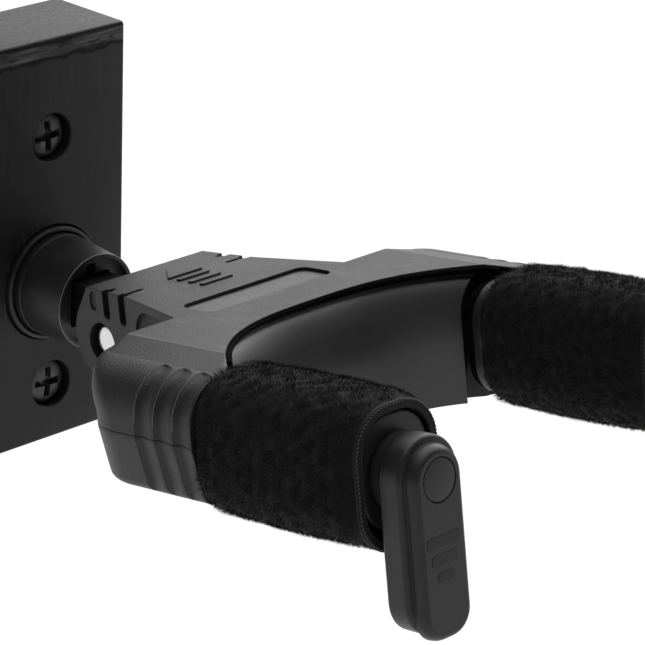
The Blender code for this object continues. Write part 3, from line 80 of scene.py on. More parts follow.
# Wall plate and its screws
PLATE_LOW, PLATE_HIGH = (np.array(corner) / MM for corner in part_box("wall_plate"))
WORN_BAND = 3.8
PLATE_EDGE = 0.8
BORE_RADIUS = 11.7
BORE_MOUTH_RADIUS = 12.3
BORE_FLOOR_OUT = 6.0
SCREW_HEIGHTS = {"upper": 29.6, "lower": -21.6}
SCREW_TURNS = (4.0, -3.0)
WALL_SCREW = {"face": 18.9, "radius": 4.5, "height": 2.4, "tip": 0.6, "shank": 2.1, "slot": 6.2}
SCREW_HOLE_RADIUS = 2.4
SCREW_WELL_RADIUS = 4.8
SCREW_MOUTH_RADIUS = 5.3
SCREW_WELL_DEPTH = 2.7
DOME_SHARE = 0.45
SLOT_WIDTH_SHARE = 0.12
SLOT_DEPTH_SHARE = 0.75

# Collar
COLLAR_FRONT_OUT = 33.2
COLLAR_BASE_RADIUS = 10.2
COLLAR_RIM_RADIUS = 9.5
COLLAR_RIM_WIDTH = 0.8
COLLAR_RIM_CHAMFER = 0.12
COLLAR_RIM_HIGHLIGHT = 0.07
COLLAR_SUNK = 1.8
COLLAR_GROOVE_OUT = 22.3
COLLAR_STEPS = 128
FLANGE_RADIUS = 11.4
FLANGE_THICKNESS = 3.6
POCKET_HALF = 4.8
POCKET_DEPTH = 12.0
KEY_HALF = 1.15
KEY_UPS = (4.0, 7.0)
KEY_DEPTH = 5.0
SCREW_WAY_RADIUS = 3.7
RING_RADIUS = 11.4
RING_WIDTH = 0.9
RING_REAR_OUT = 12.0
RING_FRONT_OUT = 21.1
RING_ROUND = 0.42

# Yoke
TOP_UP = 10.35
BOTTOM_UP = -15.5
PARTING_UP = -1.8
PARTING_GAP = 0.05
PARTING_REAR_OUT = 13.0
PARTING_REAR_GAP = 0.3
NECK_REAR_OUT = -2.8
NECK_REAR_HALF = 14.7
NECK_FLARE_OUT = 9.5
NECK_FLARE_HALF = 16.1
NECK_UNDERSIDE = ((26.0, BOTTOM_UP), (12.0, -8.2))
NOTCH_OUT = 28.3
NOTCH_HALF = 21.4
SHOULDER_HALF = 47.0
SHOULDER_FRONT_OUT = 59.2
CORNER_RADIUS = 11.0
CORNER_TOP_RADIUS = 0.4
CREASE_HALF = 32.5
# radius of the light bead along the crease, a painted highlight
CREASE_HIGHLIGHT = 0.16
FACET_HALF = 39.0
FACET_DROP = 1.35
FACET_SLOPE = 0.21
SIDE_TOP_UP = 0.5
LEAN_UP = -2.5
LEAN_STEPS = 6
FOOT_HALF = 45.0
FOOT_UP = -12.1
FOOT_ROUND = 1.5
SHOULDER_BOTTOM_HALF = 33.3
CHEEK_RADIUS = 8.9
CHEEK_OUT = 1.2
CHEEK_UP = 1.0
GROOVE_RADIUS = 1.05
GROOVE_HEAD_DROP = 1.6
GROOVE_PAST_HALF = 20.0
TOP_SLOT_HALF = 0.55
TOP_SLOT_RADIUS = 0.5
TOP_SLOT_DEPTH = 0.8
# Each groove's place along the neck, its foot's height, its depth and how far a slot runs in over the top
CHEEK_GROOVES = ((-1.7, 6.1, 0.45, 0.0), (2.5, 5.0, 1.4, 2.6), (7.6, 4.6, 1.4, 5.4))
PIN_HOLE_RADIUS = 4.0
PIN_HOLE_HALF = 12.1
SCOOP_REAR_OUT = 12.2
SCOOP_RADIUS = 4.5
SCOOP_HALF = 16.4
SCOOP_ROOF_UP = TOP_UP - 1.55
LABEL_SIZE = (31.0, 8.8)
LABEL_RADIUS = 2.2
LABEL_OUT = 27.4
LABEL_DEPTH = 1.4
ARROW_CORNERS = ((0.72, 1.75), (5.1, 7.05), (-3.7, 7.05))
ARROW_BAR_OUTS = (9.4, 12.55, 15.7)
ARROW_BAR_SIZE = (3.85, 0.55, 0.3)
ARROW_BAR_X = 0.55
MARK_SUNK = 0.2
FLUTE_OUTS = (44.95, 49.8, 54.65)
FLUTE_GROWTH = 1.8
FLUTE_LEAD = 0.6
FLUTE_TIP_WIDTH = 0.3
# radius of the light bead down each flute's rear edge, a painted highlight
FLUTE_HIGHLIGHT = 0.06
TONGUE_SLOT_HALF = 8.8
TONGUE_SLOT_TOP_UP = 7.6
TONGUE_SLOT_FLOOR_UP = -13.4
TONGUE_SLOT_FRONT_OUT = 37.8
CROSS_ROOM = ((40.6, 7.55), (40.6, -7.6), (32.8, -7.6), (32.8, -13.35))
CROSS_ROOM_OUTS = (30.5, 37.75)
SHAFT_BORE_RADIUS = 3.2
SHAFT_BORE_OUTS = (37.0, 52.9)
SHELL_SCREWS = {"rear": (12.6, 21.0), "front": (41.0, 40.9)}
SHELL_SCREW = {"face": -10.0, "radius": 2.7, "height": -1.7, "tip": 4.0, "shank": 1.4, "slot": 3.2}
SHELL_SCREW_WELL_RADIUS = 3.0
SHELL_SCREW_WELL_UP = -8.0
PIN_HEAD_RADIUS = 3.1
PIN_RADIUS = 2.5
PIN_DOME = 0.55
PIN_FACE_X, PIN_NECK_X, PIN_END_X = -14.0, -12.4, 13.7

# Lip of the yoke and its liner
LIP_APEX_OUT = 41.9
LIP_RISE = 11.3
LIP_RISE_HALF = 32.2
LIP_POWER = 2.9
LIP_UNDER_UP = 9.45
LIP_GAP_UP = 10.0
LIP_GAP_DEPTH = 1.5
LINER_END_HALF = 28.6
LINER_END_FLARE = 4.4
LINER_FLARE_UP = 1.0
LINER_TOP_UP = 9.2
LINER_BOTTOM_UP = -14.8
LINER_THICKNESS = 2.2
LINER_FACE_STEP = 0.1
LINER_ROLL_OUT = 5.4
LINER_ROLL_FALL = 13.0
SEAT_END_HALF = 33.5
SEAT_ROOM = 0.3
# Dark bead under the lip: painted shade in the gap between the lip and the liner
BEAD_END_HALF = 34.4
BEAD_RADIUS = 0.3
BEAD_DROP = 0.3

# Arms, trims and sleeves; a size is a half width, a half height and a corner radius
ARM_HALF = 35.5
ARM_UP = -2.5
ARM_SIZE = (7.75, 9.75, 6.5)
ARM_WAY = (8.05, 10.05, 6.8)
ARM_BORE_RADIUS = 4.4
ARM_SEAT_OUT = 52.4
ARM_REAR_OUT = 52.7
ARM_TIP_OUT = 95.5
ARM_TIP_ROUND = 0.5
TRIM_HALF = 34.6
TRIM_SIZE = (9.8, 10.7, 7.0)
TRIM_ROOM = 0.3
TRIM_SEAT_OUT = 54.9
TRIM_OUTS = (56.5, 58.7)
TRIM_WALL = 1.9
TRIM_ROUND = 0.5
TRIM_CHAMFER = 0.35
# Dark ring in the seat behind each trim: painted shade in the groove there
SHADE_RING_OUTS = (54.95, 56.6)
SHADE_RING_INSETS = (0.45, 1.5)
SLEEVE_HALF = 11.5
SLEEVE_TOP = 13.0
SLEEVE_BOTTOM = 13.5
SLEEVE_RADIUS = 9.5
SLEEVE_REAR_OUT = 57.8
SLEEVE_FRONT_OUT = 96.1
SLEEVE_ROUND = 5.0
SLEEVE_GIRTH = 85.0
SLEEVE_POINTS = 220
PILE_ROOT_DEPTH = 1.0
PILE_REAR_OUT = 58.7
HEM_HALF = 9.6
HEM_TOP = 11.65
HEM_BOTTOM = 13.3
HEM_RADIUS = 8.0
HEM_MEAN_RADIUS = 12.0
HEM_OUTER_ROUND = 0.4
HEM_INNER_ROUND = 0.3
HEM_SKIRT = 1.2
HEM_TUCK = 6.0
HEM_TAPE = 0.15
MOUTH_DEPTH = 7.0
STITCH_INSET = 0.36
STITCH_RADIUS = 0.14
STITCH_HALF = 0.26
STITCH_RISE = 0.12
STITCH_SLANT = 0.12

# Levers and their caps
LEVER_HALF = 7.0
LEVER_DROP = 26.3
LEVER_TOE = 6.0
LEVER_PAD_DROP = 28.6
LEVER_REAR_OUT = 95.8
LEVER_BODY_OUT = 98.0
LEVER_STEP_OUT = 102.8
LEVER_FRONT_OUT = 105.2
LEVER_REAR_ROUND = 0.7
LEVER_STEP_ROUND = 0.75
PAD_INSET = 1.35
PAD_ROUND = 1.3
PAD_RISE = 0.3
HUB_RADIUS = 6.8
HUB_FRONT_OUT = LEVER_BODY_OUT + 1.2
CAP_RADIUS = 3.65
CAP_ROUND = 0.2
CAP_SEAT_DEPTH = 1.3
SHAFT_WAY_RADIUS = 3.3
SHAFT_WAY_END_OUT = 100.5
LEVER_SCREW_WAY_RADIUS = 3.2
LEVER_SCREW_WAY_OUT = 100.0
# Each bar's drop below the shaft, half width and half height
LEVER_BARS = ((10.2, 3.95, 1.1), (13.25, 3.15, 1.05), (16.2, 1.95, 0.95))
LEVER_BAR_RADIUS = 0.8
LEVER_BAR_RISE = 0.05
SIDES = {"left": -1, "right": 1}

# Seeds of the plush, each plus the number of the sleeve
COVER_SEED, PILE_SEED, LEAN_SEED, SWAY_SEED, CLUMP_SEED = 11, 40, 60, 80, 90

# Camera and floor, metres and radians
CAMERA_AZIMUTH = 0.796
CAMERA_ELEVATION = 0.386
CAMERA_ROLL = 0.036
CAMERA_DISTANCE = 0.656579
CAMERA_TARGET = (0.044107, -0.051, -0.010533)
CAMERA_LENS = 184.34
FLOOR_UP = -0.3
FLOOR_HALF = 15.0

# Soft lights: name, azimuth and elevation they come from, angular width in degrees, strength
SOFT_LIGHTS = (("ceiling_light", 124.0, 47.0, 80.0, 2.75), ("backdrop_light", 100.0, 14.0, 70.0, 0.9),
               ("overhead_light", 0.0, 86.0, 50.0, 0.85))
SURROUNDINGS = 0.16


def length(name, description, size):
    """Property for a length, with its default in millimetres."""
    return bpy.props.FloatProperty(name=name, description=description, default=size * MM, unit="LENGTH")


def colour(name, description, channels):
    """Property for a colour."""
    return bpy.props.FloatVectorProperty(name=name, description=description, default=channels,
                                         subtype="COLOR")


class HangerSizes(bpy.types.PropertyGroup):
    """Sizes of the dressing that a user would change."""

    pile_length: length("Pile length", "Length of one plush fibre", 0.92)
    pile_count: bpy.props.IntProperty(
        name="Fibres", description="Plush fibres on one sleeve", default=60000, min=0)
    pile_width: length("Fibre width", "Width of a plush fibre at its root", 0.078)
    hem_width: length("Hem width", "Flat ring that binds the sleeve's front end", 1.7)
    stitch_pitch: length("Stitch pitch", "Distance from stitch to stitch", 0.68)
    flute_width: length("Flute width", "Width of a groove on the shoulder", 4.2)
    flute_depth: length("Flute depth", "Depth of a groove on the shoulder", 0.55)
    mark_height: length("Mark height", "How far the arrow stands up", 0.35)
    cap_gap: length("Cap gap", "Open line round the lever's cap", 0.18)
    soft_edge: length("Soft edge", "Radius that moulded edges are shaded with", 0.3)


class HangerColours(bpy.types.PropertyGroup):
    """Colours of the finishes."""

    wood: colour("Stain", "Black stain on the plate", (0.006, 0.006, 0.006))
    worn_wood: colour("Worn wood", "Stain rubbed thin", (0.1, 0.1, 0.1))
    plastic: colour("Plastic", "Moulded black plastic", (0.012, 0.012, 0.0122))
    marks: colour("Lever marks", "Bars on the levers", (0.006, 0.006, 0.006))
    label: colour("Label", "Bare plate in the recess", (0.05, 0.05, 0.05))
    # painted highlight: light grey for thin lines along edges, where the edges catch the light
    rubbed: colour("Rubbed edges", "Plastic rubbed light on its edges", (0.27, 0.27, 0.27))
    rubber: colour("Rubber", "Lining of the neck opening", (0.011, 0.011, 0.011))
    plush: colour("Plush", "Sleeve pile", (0.003, 0.003, 0.003))
    plush_tip: colour("Plush tips", "Lightest fibres", (0.02, 0.02, 0.02))
    tape: colour("Hem tape", "Bound end of the sleeve", (0.008, 0.008, 0.008))
    thread: colour("Thread", "Stitches of the hem", (0.045, 0.045, 0.045))
    oxide: colour("Black screws", "Oxidised steel", (0.05, 0.05, 0.05))
    steel: colour("Bright steel", "Pin and inner screws", (0.76, 0.76, 0.77))
    acetal: colour("Bushes", "Natural acetal", (0.55, 0.55, 0.52))


def on_wall(points):
    """(x, out, up) millimetres in the wall's frame to metres."""
    points = np.asarray(points, float)
    return np.stack([points[..., 0], -points[..., 1], points[..., 2]], -1) * MM


def on_yoke(points):
    """(x, out, up) millimetres in the yoke's frame, turned by its pitch about the pivot, to metres."""
    points = np.asarray(points, float)
    x, out, up = points[..., 0], points[..., 1], points[..., 2]
    turned_out = PIVOT_OUT + out * math.cos(PITCH) - up * math.sin(PITCH)
    turned_up = PIVOT_UP + out * math.sin(PITCH) + up * math.cos(PITCH)
    return np.stack([x, -turned_out, turned_up], -1) * MM


def unit(vectors):
    """Vectors along the last axis, each divided by its length."""
    return vectors / np.linalg.norm(vectors, axis=-1, keepdims=True)


def arc(centre, radii, start, end, steps):
    """Elliptical arc: centre plus radii times cosine and sine, degrees from start to end."""
    turn = np.radians(np.linspace(start, end, steps + 1))
    return np.stack([centre[0] + radii[0] * np.cos(turn), centre[1] + radii[1] * np.sin(turn)], -1)


def circle(centre, radius, count):
    """Loop of a number of points round a circle."""
    return arc(centre, (radius, radius), 0.0, 360.0 - 360.0 / count, count - 1)


def rounded_step(inset, out, radius, steps):
    """Quarter circle of a profile from its side to its front face, as (inset, out)."""
    return arc((inset + radius, out - radius), (-radius, radius), 0, 90, steps)


def rounded_loop(half_a, half_b, radius, centre=(0.0, 0.0), steps=10):
    """Rectangle with quarter circles at its corners, anticlockwise from the right side."""
    quarters = [arc((centre[0] + a * (half_a - radius), centre[1] + b * (half_b - radius)), (radius, radius),
                    start, start + 90, steps)
                for a, b, start in ((1, 1, 0), (-1, 1, 90), (-1, -1, 180), (1, -1, 270))]
    return np.concatenate(quarters)


def box_loop(low_a, high_a, low_b, high_b):
    """Plain rectangle as a loop."""
    return np.array([(low_a, low_b), (high_a, low_b), (high_a, high_b), (low_a, high_b)], float)


def resampled(loop, count):
    """Closed loop with a number of points at even distances along it."""
    closed = np.vstack([loop, loop[:1]])
    along = np.concatenate([[0.0], np.cumsum(np.linalg.norm(np.diff(closed, axis=0), axis=1))])
    wanted = np.linspace(0.0, along[-1], count, endpoint=False)
    return np.stack([np.interp(wanted, along, closed[:, axis]) for axis in range(2)], -1)


def bent(start, corner, end, share):
    """Curve from start to end that a corner draws out: weights are squares and products of the share."""
    return (1 - share) ** 2 * start + 2 * share * (1 - share) * corner + share ** 2 * end


def inset_corners(corners, distance):
    """Corners of a convex outline moved inwards by a distance, each where its two moved sides meet."""
    before = unit(corners - np.roll(corners, 1, 0))
    after = unit(np.roll(corners, -1, 0) - corners)
    inward = np.stack([-before[:, 1] - after[:, 1], before[:, 0] + after[:, 0]], -1)
    return corners + inward / (1.0 + np.sum(before * after, axis=1, keepdims=True)) * distance


def softened(corners, radius, steps=5):
    """Outline whose corners are rounded: each is a curve from one side to the next about the corner."""
    start = corners + unit(np.roll(corners, 1, 0) - corners) * radius
    end = corners + unit(np.roll(corners, -1, 0) - corners) * radius
    share = np.linspace(0.0, 1.0, steps)[None, :, None]
    return bent(start[:, None], corners[:, None], end[:, None], share).reshape(-1, 2)


def lip_out(x):
    """Front edge of the yoke: its depth in the middle plus a rise with a power of the distance from it."""
    return LIP_APEX_OUT + LIP_RISE * (np.abs(x) / LIP_RISE_HALF) ** LIP_POWER


def lip_offset(x, distance):
    """Lip moved square to its curve, forward where the distance is positive, as (x, out)."""
    steepness = LIP_RISE * LIP_POWER / LIP_RISE_HALF
    slope = steepness * (np.abs(x) / LIP_RISE_HALF) ** (LIP_POWER - 1.0) * np.sign(x)
    run = np.hypot(1.0, slope)
    return np.stack([x - slope / run * distance, lip_out(x) + distance / run], -1)


def waves(u, v, seed, count=14, scale=1.0):
    """Smooth seeded noise from about -1 to 1: a sum of sine waves with random directions and phases."""
    chance = np.random.default_rng(seed)
    turn = chance.uniform(0.0, 2.0 * np.pi, count)
    pace = scale * chance.uniform(0.6, 1.7, count)
    phase = chance.uniform(0.0, 2.0 * np.pi, count)
    total = np.zeros(np.broadcast(u, v).shape)
    for angle, speed, shift in zip(turn, pace, phase):
        total += np.sin(speed * (np.cos(angle) * u + np.sin(angle) * v) + shift)
    return total / math.sqrt(count) / 1.6


def linked(name, points, faces):
    """Mesh object in the scene from points in metres and lists of point numbers."""
    mesh = bpy.data.meshes.new(name)
    mesh.from_pydata(np.reshape(points, (-1, 3)).tolist(), [], faces)
    piece = bpy.data.objects.new(name, mesh)
    bpy.context.scene.collection.objects.link(piece)
    return piece


def faced_outward(piece, weld):
    """Turns a piece's faces outward, and first joins points that fall together where asked."""
    shape = bmesh.new()
    shape.from_mesh(piece.data)
    if weld:
        bmesh.ops.remove_doubles(shape, verts=shape.verts, dist=WELD)
        bmesh.ops.dissolve_degenerate(shape, edges=shape.edges, dist=WELD)
    bmesh.ops.recalc_face_normals(shape, faces=shape.faces)
    shape.to_mesh(piece.data)
    shape.free()
    return piece


def between(here, there):
    """Quads between loops of point numbers, closed round the last axis."""
    return np.stack([here, np.roll(here, -1, -1), np.roll(there, -1, -1), there], -1).reshape(-1, 4).tolist()


def skin(name, points, wrap_rows=False, capped=True):
    """Mesh object over a grid of points in metres: rows of closed loops, capped or joined end to start."""
    index = np.arange(points.shape[0] * points.shape[1]).reshape(points.shape[:2])
    if wrap_rows:
        faces = between(index, np.roll(index, -1, 0))
    else:
        faces = between(index[:-1], index[1:])
        if capped:
            faces += [index[0].tolist(), index[-1].tolist()]
    return faced_outward(linked(name, points, faces), weld=True)


def lofted(loops, axis, along):
    """Grid of points: flat loops set at places along x, out or up, one place for each loop."""
    flat = np.asarray(loops, float)
    a, b = flat[..., 0], flat[..., 1]
    c = np.broadcast_to(np.reshape(along, (-1, 1)), a.shape)
    return np.stack({"x": (c, a, b), "out": (a, c, b), "up": (a, b, c)}[axis], -1)


def prism(name, outline, axis, low, high, place=on_yoke):
    """Outline carried straight along x, out or up."""
    return skin(name, place(lofted([outline, outline], axis, (low, high))))


def turned(name, profile, axis, centre, place=on_yoke, steps=96, closed=False):
    """Profile of (radius, along) turned about an axis: a closed one makes a ring, or radii of zero end it."""
    profile = np.asarray(profile, float)
    turn = np.linspace(0.0, 2.0 * np.pi, steps, endpoint=False)
    loops = np.asarray(centre, float) + profile[:, :1, None] * np.stack([np.cos(turn), np.sin(turn)], -1)
    return skin(name, place(lofted(loops, axis, profile[:, 1])), wrap_rows=closed, capped=False)


def cylinder(name, radius, low, high, centre):
    """Plain cylinder along out in the yoke's frame."""
    return turned(name, [(0, low), (radius, low), (radius, high), (0, high)], "out", centre)


def beaded(name, path, across, radius):
    """Thin round bead along a path in the yoke's frame: circles square to the path."""
    other = np.cross(unit(np.gradient(path, axis=0)), across)
    turn = np.linspace(0.0, 2.0 * np.pi, 8, endpoint=False)[None, :, None]
    ring = np.cos(turn) * np.asarray(across, float) + np.sin(turn) * other[:, None]
    return skin(name, on_yoke(path[:, None] + radius * ring))


def banded(name, profile, size, centre, bore=None, count=120):
    """Closed band round an arm: (inset, out) profile carried round a rounded rectangle, and on to a round
    bore where the inset is None."""
    half_a, half_b, radius = size
    loops = []
    for inset, _ in profile:
        if inset is None:
            loops.append(bore * unit(resampled(rounded_loop(*size), count)))
        else:
            loop = rounded_loop(half_a - inset, half_b - inset, max(radius - inset, 0.3))
            loops.append(resampled(loop, count))
    grid = lofted(np.array(loops) + np.array(centre), "out", [out for _, out in profile])
    return skin(name, on_yoke(grid), wrap_rows=True)


def carve(piece, tools, operation="DIFFERENCE"):
    """Booleans a piece with tools in order, keeps the result as its mesh and removes the tools."""
    for tool in tools:
        step = piece.modifiers.new(tool.name, "BOOLEAN")
        step.operation = operation
        step.solver = "EXACT"
        step.object = tool
    bpy.context.view_layer.update()
    shaped = bpy.data.meshes.new_from_object(piece.evaluated_get(bpy.context.evaluated_depsgraph_get()))
    plain = piece.data
    piece.modifiers.clear()
    piece.data = shaped
    shaped.name = piece.name
    bpy.data.meshes.remove(plain)
    for tool in tools:
        mesh = tool.data
        bpy.data.objects.remove(tool)
        bpy.data.meshes.remove(mesh)
    if not piece.data.polygons:
        raise RuntimeError(f"{piece.name} came out empty")
    return piece


def paint(piece, finish):
    """Gives a piece or a CAD node one finish."""
    piece.data.materials.clear()
    piece.data.materials.append(finish_of(finish))


def dress(piece, finish, body, replaces=(), crisp=30.0, even=False):
    """Gives a piece its finish, soft shading with crisp edges and its body, and hides the CAD nodes it
    replaces.
    """
    paint(piece, finish)
    piece.data.shade_smooth()
    piece.data.set_sharp_from_angle(angle=math.radians(crisp))
    if even:
        piece.modifiers.new("even_shading", "WEIGHTED_NORMAL").keep_sharp = True
    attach(piece, body)
    if replaces:
        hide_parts(*replaces)


class Finish:
    """A Principled material and short ways to add nodes to it; a value is a number, a tuple or a socket."""

    def __init__(self, name, roughness, metallic=0.0, specular=0.5):
        self.material = bpy.data.materials.new(name)
        self.material.use_nodes = True
        self.tree = self.material.node_tree
        self.surface = self.tree.nodes["Principled BSDF"]
        self.give("Roughness", roughness)
        self.give("Metallic", metallic)
        self.give("Specular IOR Level", specular)

    def plug(self, value, socket):
        """Links a socket, or sets a value on it."""
        if isinstance(value, bpy.types.NodeSocket):
            self.tree.links.new(value, socket)
        else:
            socket.default_value = value

    def give(self, name, value):
        """Gives the surface's own input a value."""
        self.plug(value, self.surface.inputs[name])

    def add(self, kind, inputs, **settings):
        """Node with its settings and its inputs."""
        node = self.tree.nodes.new(kind)
        for key, value in settings.items():
            setattr(node, key, value)
        for key, value in inputs.items():
            self.plug(value, node.inputs[key])
        return node

    def place(self, output="Object"):
        """Texture coordinates."""
        return self.add("ShaderNodeTexCoord", {}).outputs[output]

    def noise(self, scale, stretch=(1.0, 1.0, 1.0), detail=3.0):
        """Noise on Object coordinates, drawn out along an axis by a stretch below one."""
        mapped = self.add("ShaderNodeMapping", {"Vector": self.place(), "Scale": stretch}).outputs["Vector"]
        inputs = {"Vector": mapped, "Scale": scale, "Detail": detail}
        return self.add("ShaderNodeTexNoise", inputs).outputs["Fac"]

    def spread(self, value, low, high, to_low=0.0, to_high=1.0):
        """Value between two limits mapped to another pair, held at its ends."""
        inputs = {"Value": value, "From Min": low, "From Max": high, "To Min": to_low, "To Max": to_high}
        return self.add("ShaderNodeMapRange", inputs).outputs["Result"]

    def band(self, value, start, full, end, none):
        """One between two limits, falling to zero over the stretches outside them."""
        return self.times(self.spread(value, start, full), self.spread(value, end, none, 1.0, 0.0))

    def maths(self, operation, first, second=0.0):
        """Two values put together."""
        return self.add("ShaderNodeMath", {0: first, 1: second}, operation=operation).outputs[0]

    def times(self, first, second):
        """Product of two values."""
        return self.maths("MULTIPLY", first, second)

    def plus(self, first, second):
        """Sum of two values."""
        return self.maths("ADD", first, second)

    def most(self, first, *others):
        """Largest of some values."""
        for other in others:
            first = self.maths("MAXIMUM", first, other)
        return first

    def blend(self, share, first, second):
        """Colour between two, by a share."""
        inputs = {"Factor": share, "A": first, "B": second}
        return self.add("ShaderNodeMix", inputs, data_type="RGBA").outputs["Result"]

    def tint(self, share, first, second):
        """Gives the surface a colour between two, by a share."""
        self.give("Base Color", self.blend(share, first, second))

    def relief(self, height, strength, distance, normal=None):
        """Bump from a height, its distance in millimetres, on top of another normal where there is one."""
        inputs = {"Height": height, "Strength": strength, "Distance": distance * MM}
        if normal:
            inputs["Normal"] = normal
        self.give("Normal", self.add("ShaderNodeBump", inputs).outputs["Normal"])


def opaque(channels, brightness=1.0):
    """Colour with alpha, made lighter or darker."""
    return tuple(channel * brightness for channel in channels) + (1.0,)


def moulded_plastic(name, shade, roughness, grain):
    """Black plastic with a fine spark-eroded grain, faint cloudiness and softened edges."""
    finish = Finish(name, roughness, specular=0.35)
    spread, times = finish.spread, finish.times
    cloud = finish.noise(110.0, detail=4.0)
    fine = finish.noise(3400.0, detail=2.0)
    rub = finish.noise(420.0, (1.0, 0.25, 1.0), 5.0)
    tone = times(spread(cloud, 0.35, 0.7), spread(fine, 0.3, 0.75))
    finish.tint(tone, opaque(shade, 0.8), opaque(shade, 1.5))
    worn = times(spread(rub, 0.58, 0.75), 0.07)
    rough = spread(cloud, 0.3, 0.7, roughness - 0.03, roughness + 0.04)
    finish.give("Roughness", finish.maths("SUBTRACT", rough, worn))
    edge = finish.add("ShaderNodeBevel", {"Radius": bpy.context.scene.hanger_sizes.soft_edge}, samples=6)
    finish.relief(fine, grain, 0.15, edge.outputs["Normal"])
    return finish.material


def stained_board(colours):
    """Black-stained board: brush streaks, a scraped top end and upper band, torn fibres by the bore."""
    finish = Finish("stained_board", 0.5, specular=0.24)
    spread, times, plus, band = finish.spread, finish.times, finish.plus, finish.band
    streak = finish.noise(1900.0, (1.0, 1.0, 0.035), 4.0)
    broad = finish.noise(90.0, (1.0, 1.0, 0.4))
    scratch = finish.noise(2600.0, (0.03, 1.0, 1.0), 5.0)
    patches = finish.noise(260.0, (0.3, 1.0, 1.0), 4.0)
    ragged = finish.noise(700.0, (0.35, 1.0, 1.0), 4.0)
    place = finish.add("ShaderNodeSeparateXYZ", {"Vector": finish.place()}).outputs
    facing = finish.add("ShaderNodeNewGeometry", {}).outputs["Normal"]
    on_top = spread(finish.add("ShaderNodeSeparateXYZ", {"Vector": facing}).outputs["Z"], 0.5, 0.9)
    scraped = times(spread(scratch, 0.4, 0.64), spread(patches, 0.3, 0.6))
    worn_top = times(on_top, spread(scratch, 0.36, 0.66, 0.0, 0.17))

    # Depths below the top edge, with a wavy and a torn line, in metres
    below = finish.maths("SUBTRACT", PLATE_HIGH[2] * MM, place["Z"])
    wavy = plus(below, spread(ragged, 0.2, 0.8, -0.9 * MM, 0.9 * MM))
    torn = plus(below, spread(patches, 0.3, 0.7, -0.35 * MM, 0.75 * MM))
    band_end = spread(wavy, (WORN_BAND - 0.5) * MM, (WORN_BAND + 0.1) * MM, 1.0, 0.0)
    upper = times(spread(below, 0.5 * MM, 0.9 * MM), band_end)
    low_rim = band(wavy, *((WORN_BAND + step) * MM for step in (-0.6, 0.0, 0.4, 0.8)))
    high_rim = band(torn, 0.2 * MM, 0.5 * MM, 0.9 * MM, 1.3 * MM)
    high_rim = times(high_rim, finish.maths("SUBTRACT", 1.0, on_top))
    rim = finish.most(low_rim, high_rim, times(upper, spread(ragged, 0.53, 0.62, 0.0, 0.8)))
    worn_band = times(upper, plus(times(scraped, 0.75), 0.12))

    squares = [finish.maths("POWER", place[axis], 2.0) for axis in ("X", "Z")]
    from_bore = finish.maths("SQRT", plus(*squares))
    fibres = times(spread(from_bore, 12.0 * MM, 14.5 * MM, 0.45, 0.0), spread(streak, 0.52, 0.7))
    fibres = times(fibres, spread(place["Y"], -15.0 * MM, -10.0 * MM, 1.0, 0.0))
    front = times(spread(streak, 0.4, 0.75), spread(broad, 0.3, 0.7, 0.02, 0.16))
    share = finish.most(worn_top, worn_band, front, fibres)
    stain = finish.blend(share, opaque(colours.wood), opaque(colours.worn_wood))
    finish.tint(times(rim, 0.9), stain, (0.001, 0.001, 0.001, 1.0))
    finish.give("Roughness", plus(spread(streak, 0.3, 0.7, 0.42, 0.56), times(rim, 0.3)))
    cuts = times(scraped, finish.most(times(on_top, 0.35), upper))
    finish.relief(plus(times(streak, 0.45), finish.maths("SUBTRACT", cuts, rim)), 0.4, 0.12)
    return finish.material


def satin_rubber(colours):
    """Smooth black rubber with faint flow waves and a dusty bloom."""
    finish = Finish("satin_rubber", 0.38, specular=0.75)
    flow = finish.noise(60.0, (1.0, 1.0, 0.3), 2.0)
    bloom = finish.noise(900.0, detail=5.0)
    share = finish.times(finish.spread(flow, 0.3, 0.7), finish.spread(bloom, 0.3, 0.8))
    finish.tint(share, opaque(colours.rubber), opaque(colours.rubber, 1.8))
    finish.give("Roughness", finish.spread(bloom, 0.3, 0.7, 0.4, 0.46))
    finish.relief(bloom, 0.08, 0.03)
    return finish.material


def matte_foam(colours):
    """Dull near-black foam with open cells, for dark pieces that paint shade in gaps."""
    finish = Finish("matte_foam", 0.9, specular=0.03)
    cells = finish.noise(2400.0)
    finish.tint(finish.spread(cells, 0.35, 0.7), opaque(colours.plush, 0.3), opaque(colours.plush, 0.9))
    finish.relief(cells, 0.4, 0.1)
    return finish.material


def plush_fibre(colours):
    """Plush: each fibre's tone from dark to light, its own and painted light that makes one sleeve lighter,
    dull, with a sheen along the nap.
    """
    finish = Finish("plush_fibre", 0.85, specular=0.12)
    tone = finish.add("ShaderNodeAttribute", {}, attribute_name="tone").outputs["Fac"]
    patch = finish.noise(260.0, detail=4.0)
    share = finish.times(tone, finish.spread(patch, 0.25, 0.75, 0.35, 1.0))
    finish.tint(share, opaque(colours.plush), opaque(colours.plush_tip))
    finish.give("Sheen Weight", 0.1)
    finish.give("Sheen Roughness", 0.5)
    finish.relief(finish.noise(2600.0), 0.5, 0.2)
    return finish.material


def woven_tape(colours):
    """Hem tape: fine ribs of a plain weave on the tape's own map, in millimetres."""
    finish = Finish("woven_tape", 0.7, specular=0.2)
    threads = {"Vector": finish.place("UV"), "Scale": 0.55}
    rib = finish.times(*(finish.add("ShaderNodeTexWave", threads, bands_direction=way).outputs["Fac"]
                         for way in ("X", "Y")))
    fuzz = finish.noise(1400.0, detail=4.0)
    share = finish.times(rib, finish.spread(fuzz, 0.3, 0.7))
    finish.tint(share, opaque(colours.tape, 0.7), opaque(colours.tape, 2.0))
    finish.give("Sheen Weight", 0.05)
    finish.relief(rib, 0.35, 0.06)
    return finish.material


def sewing_thread(colours):
    """Grey thread with a twist and uneven wear."""
    finish = Finish("sewing_thread", 0.6)
    twist = finish.noise(4200.0, (1.0, 0.4, 1.0), 2.0)
    finish.tint(finish.spread(twist, 0.3, 0.7), opaque(colours.thread, 0.5), opaque(colours.thread, 1.4))
    finish.relief(twist, 0.4, 0.05)
    return finish.material


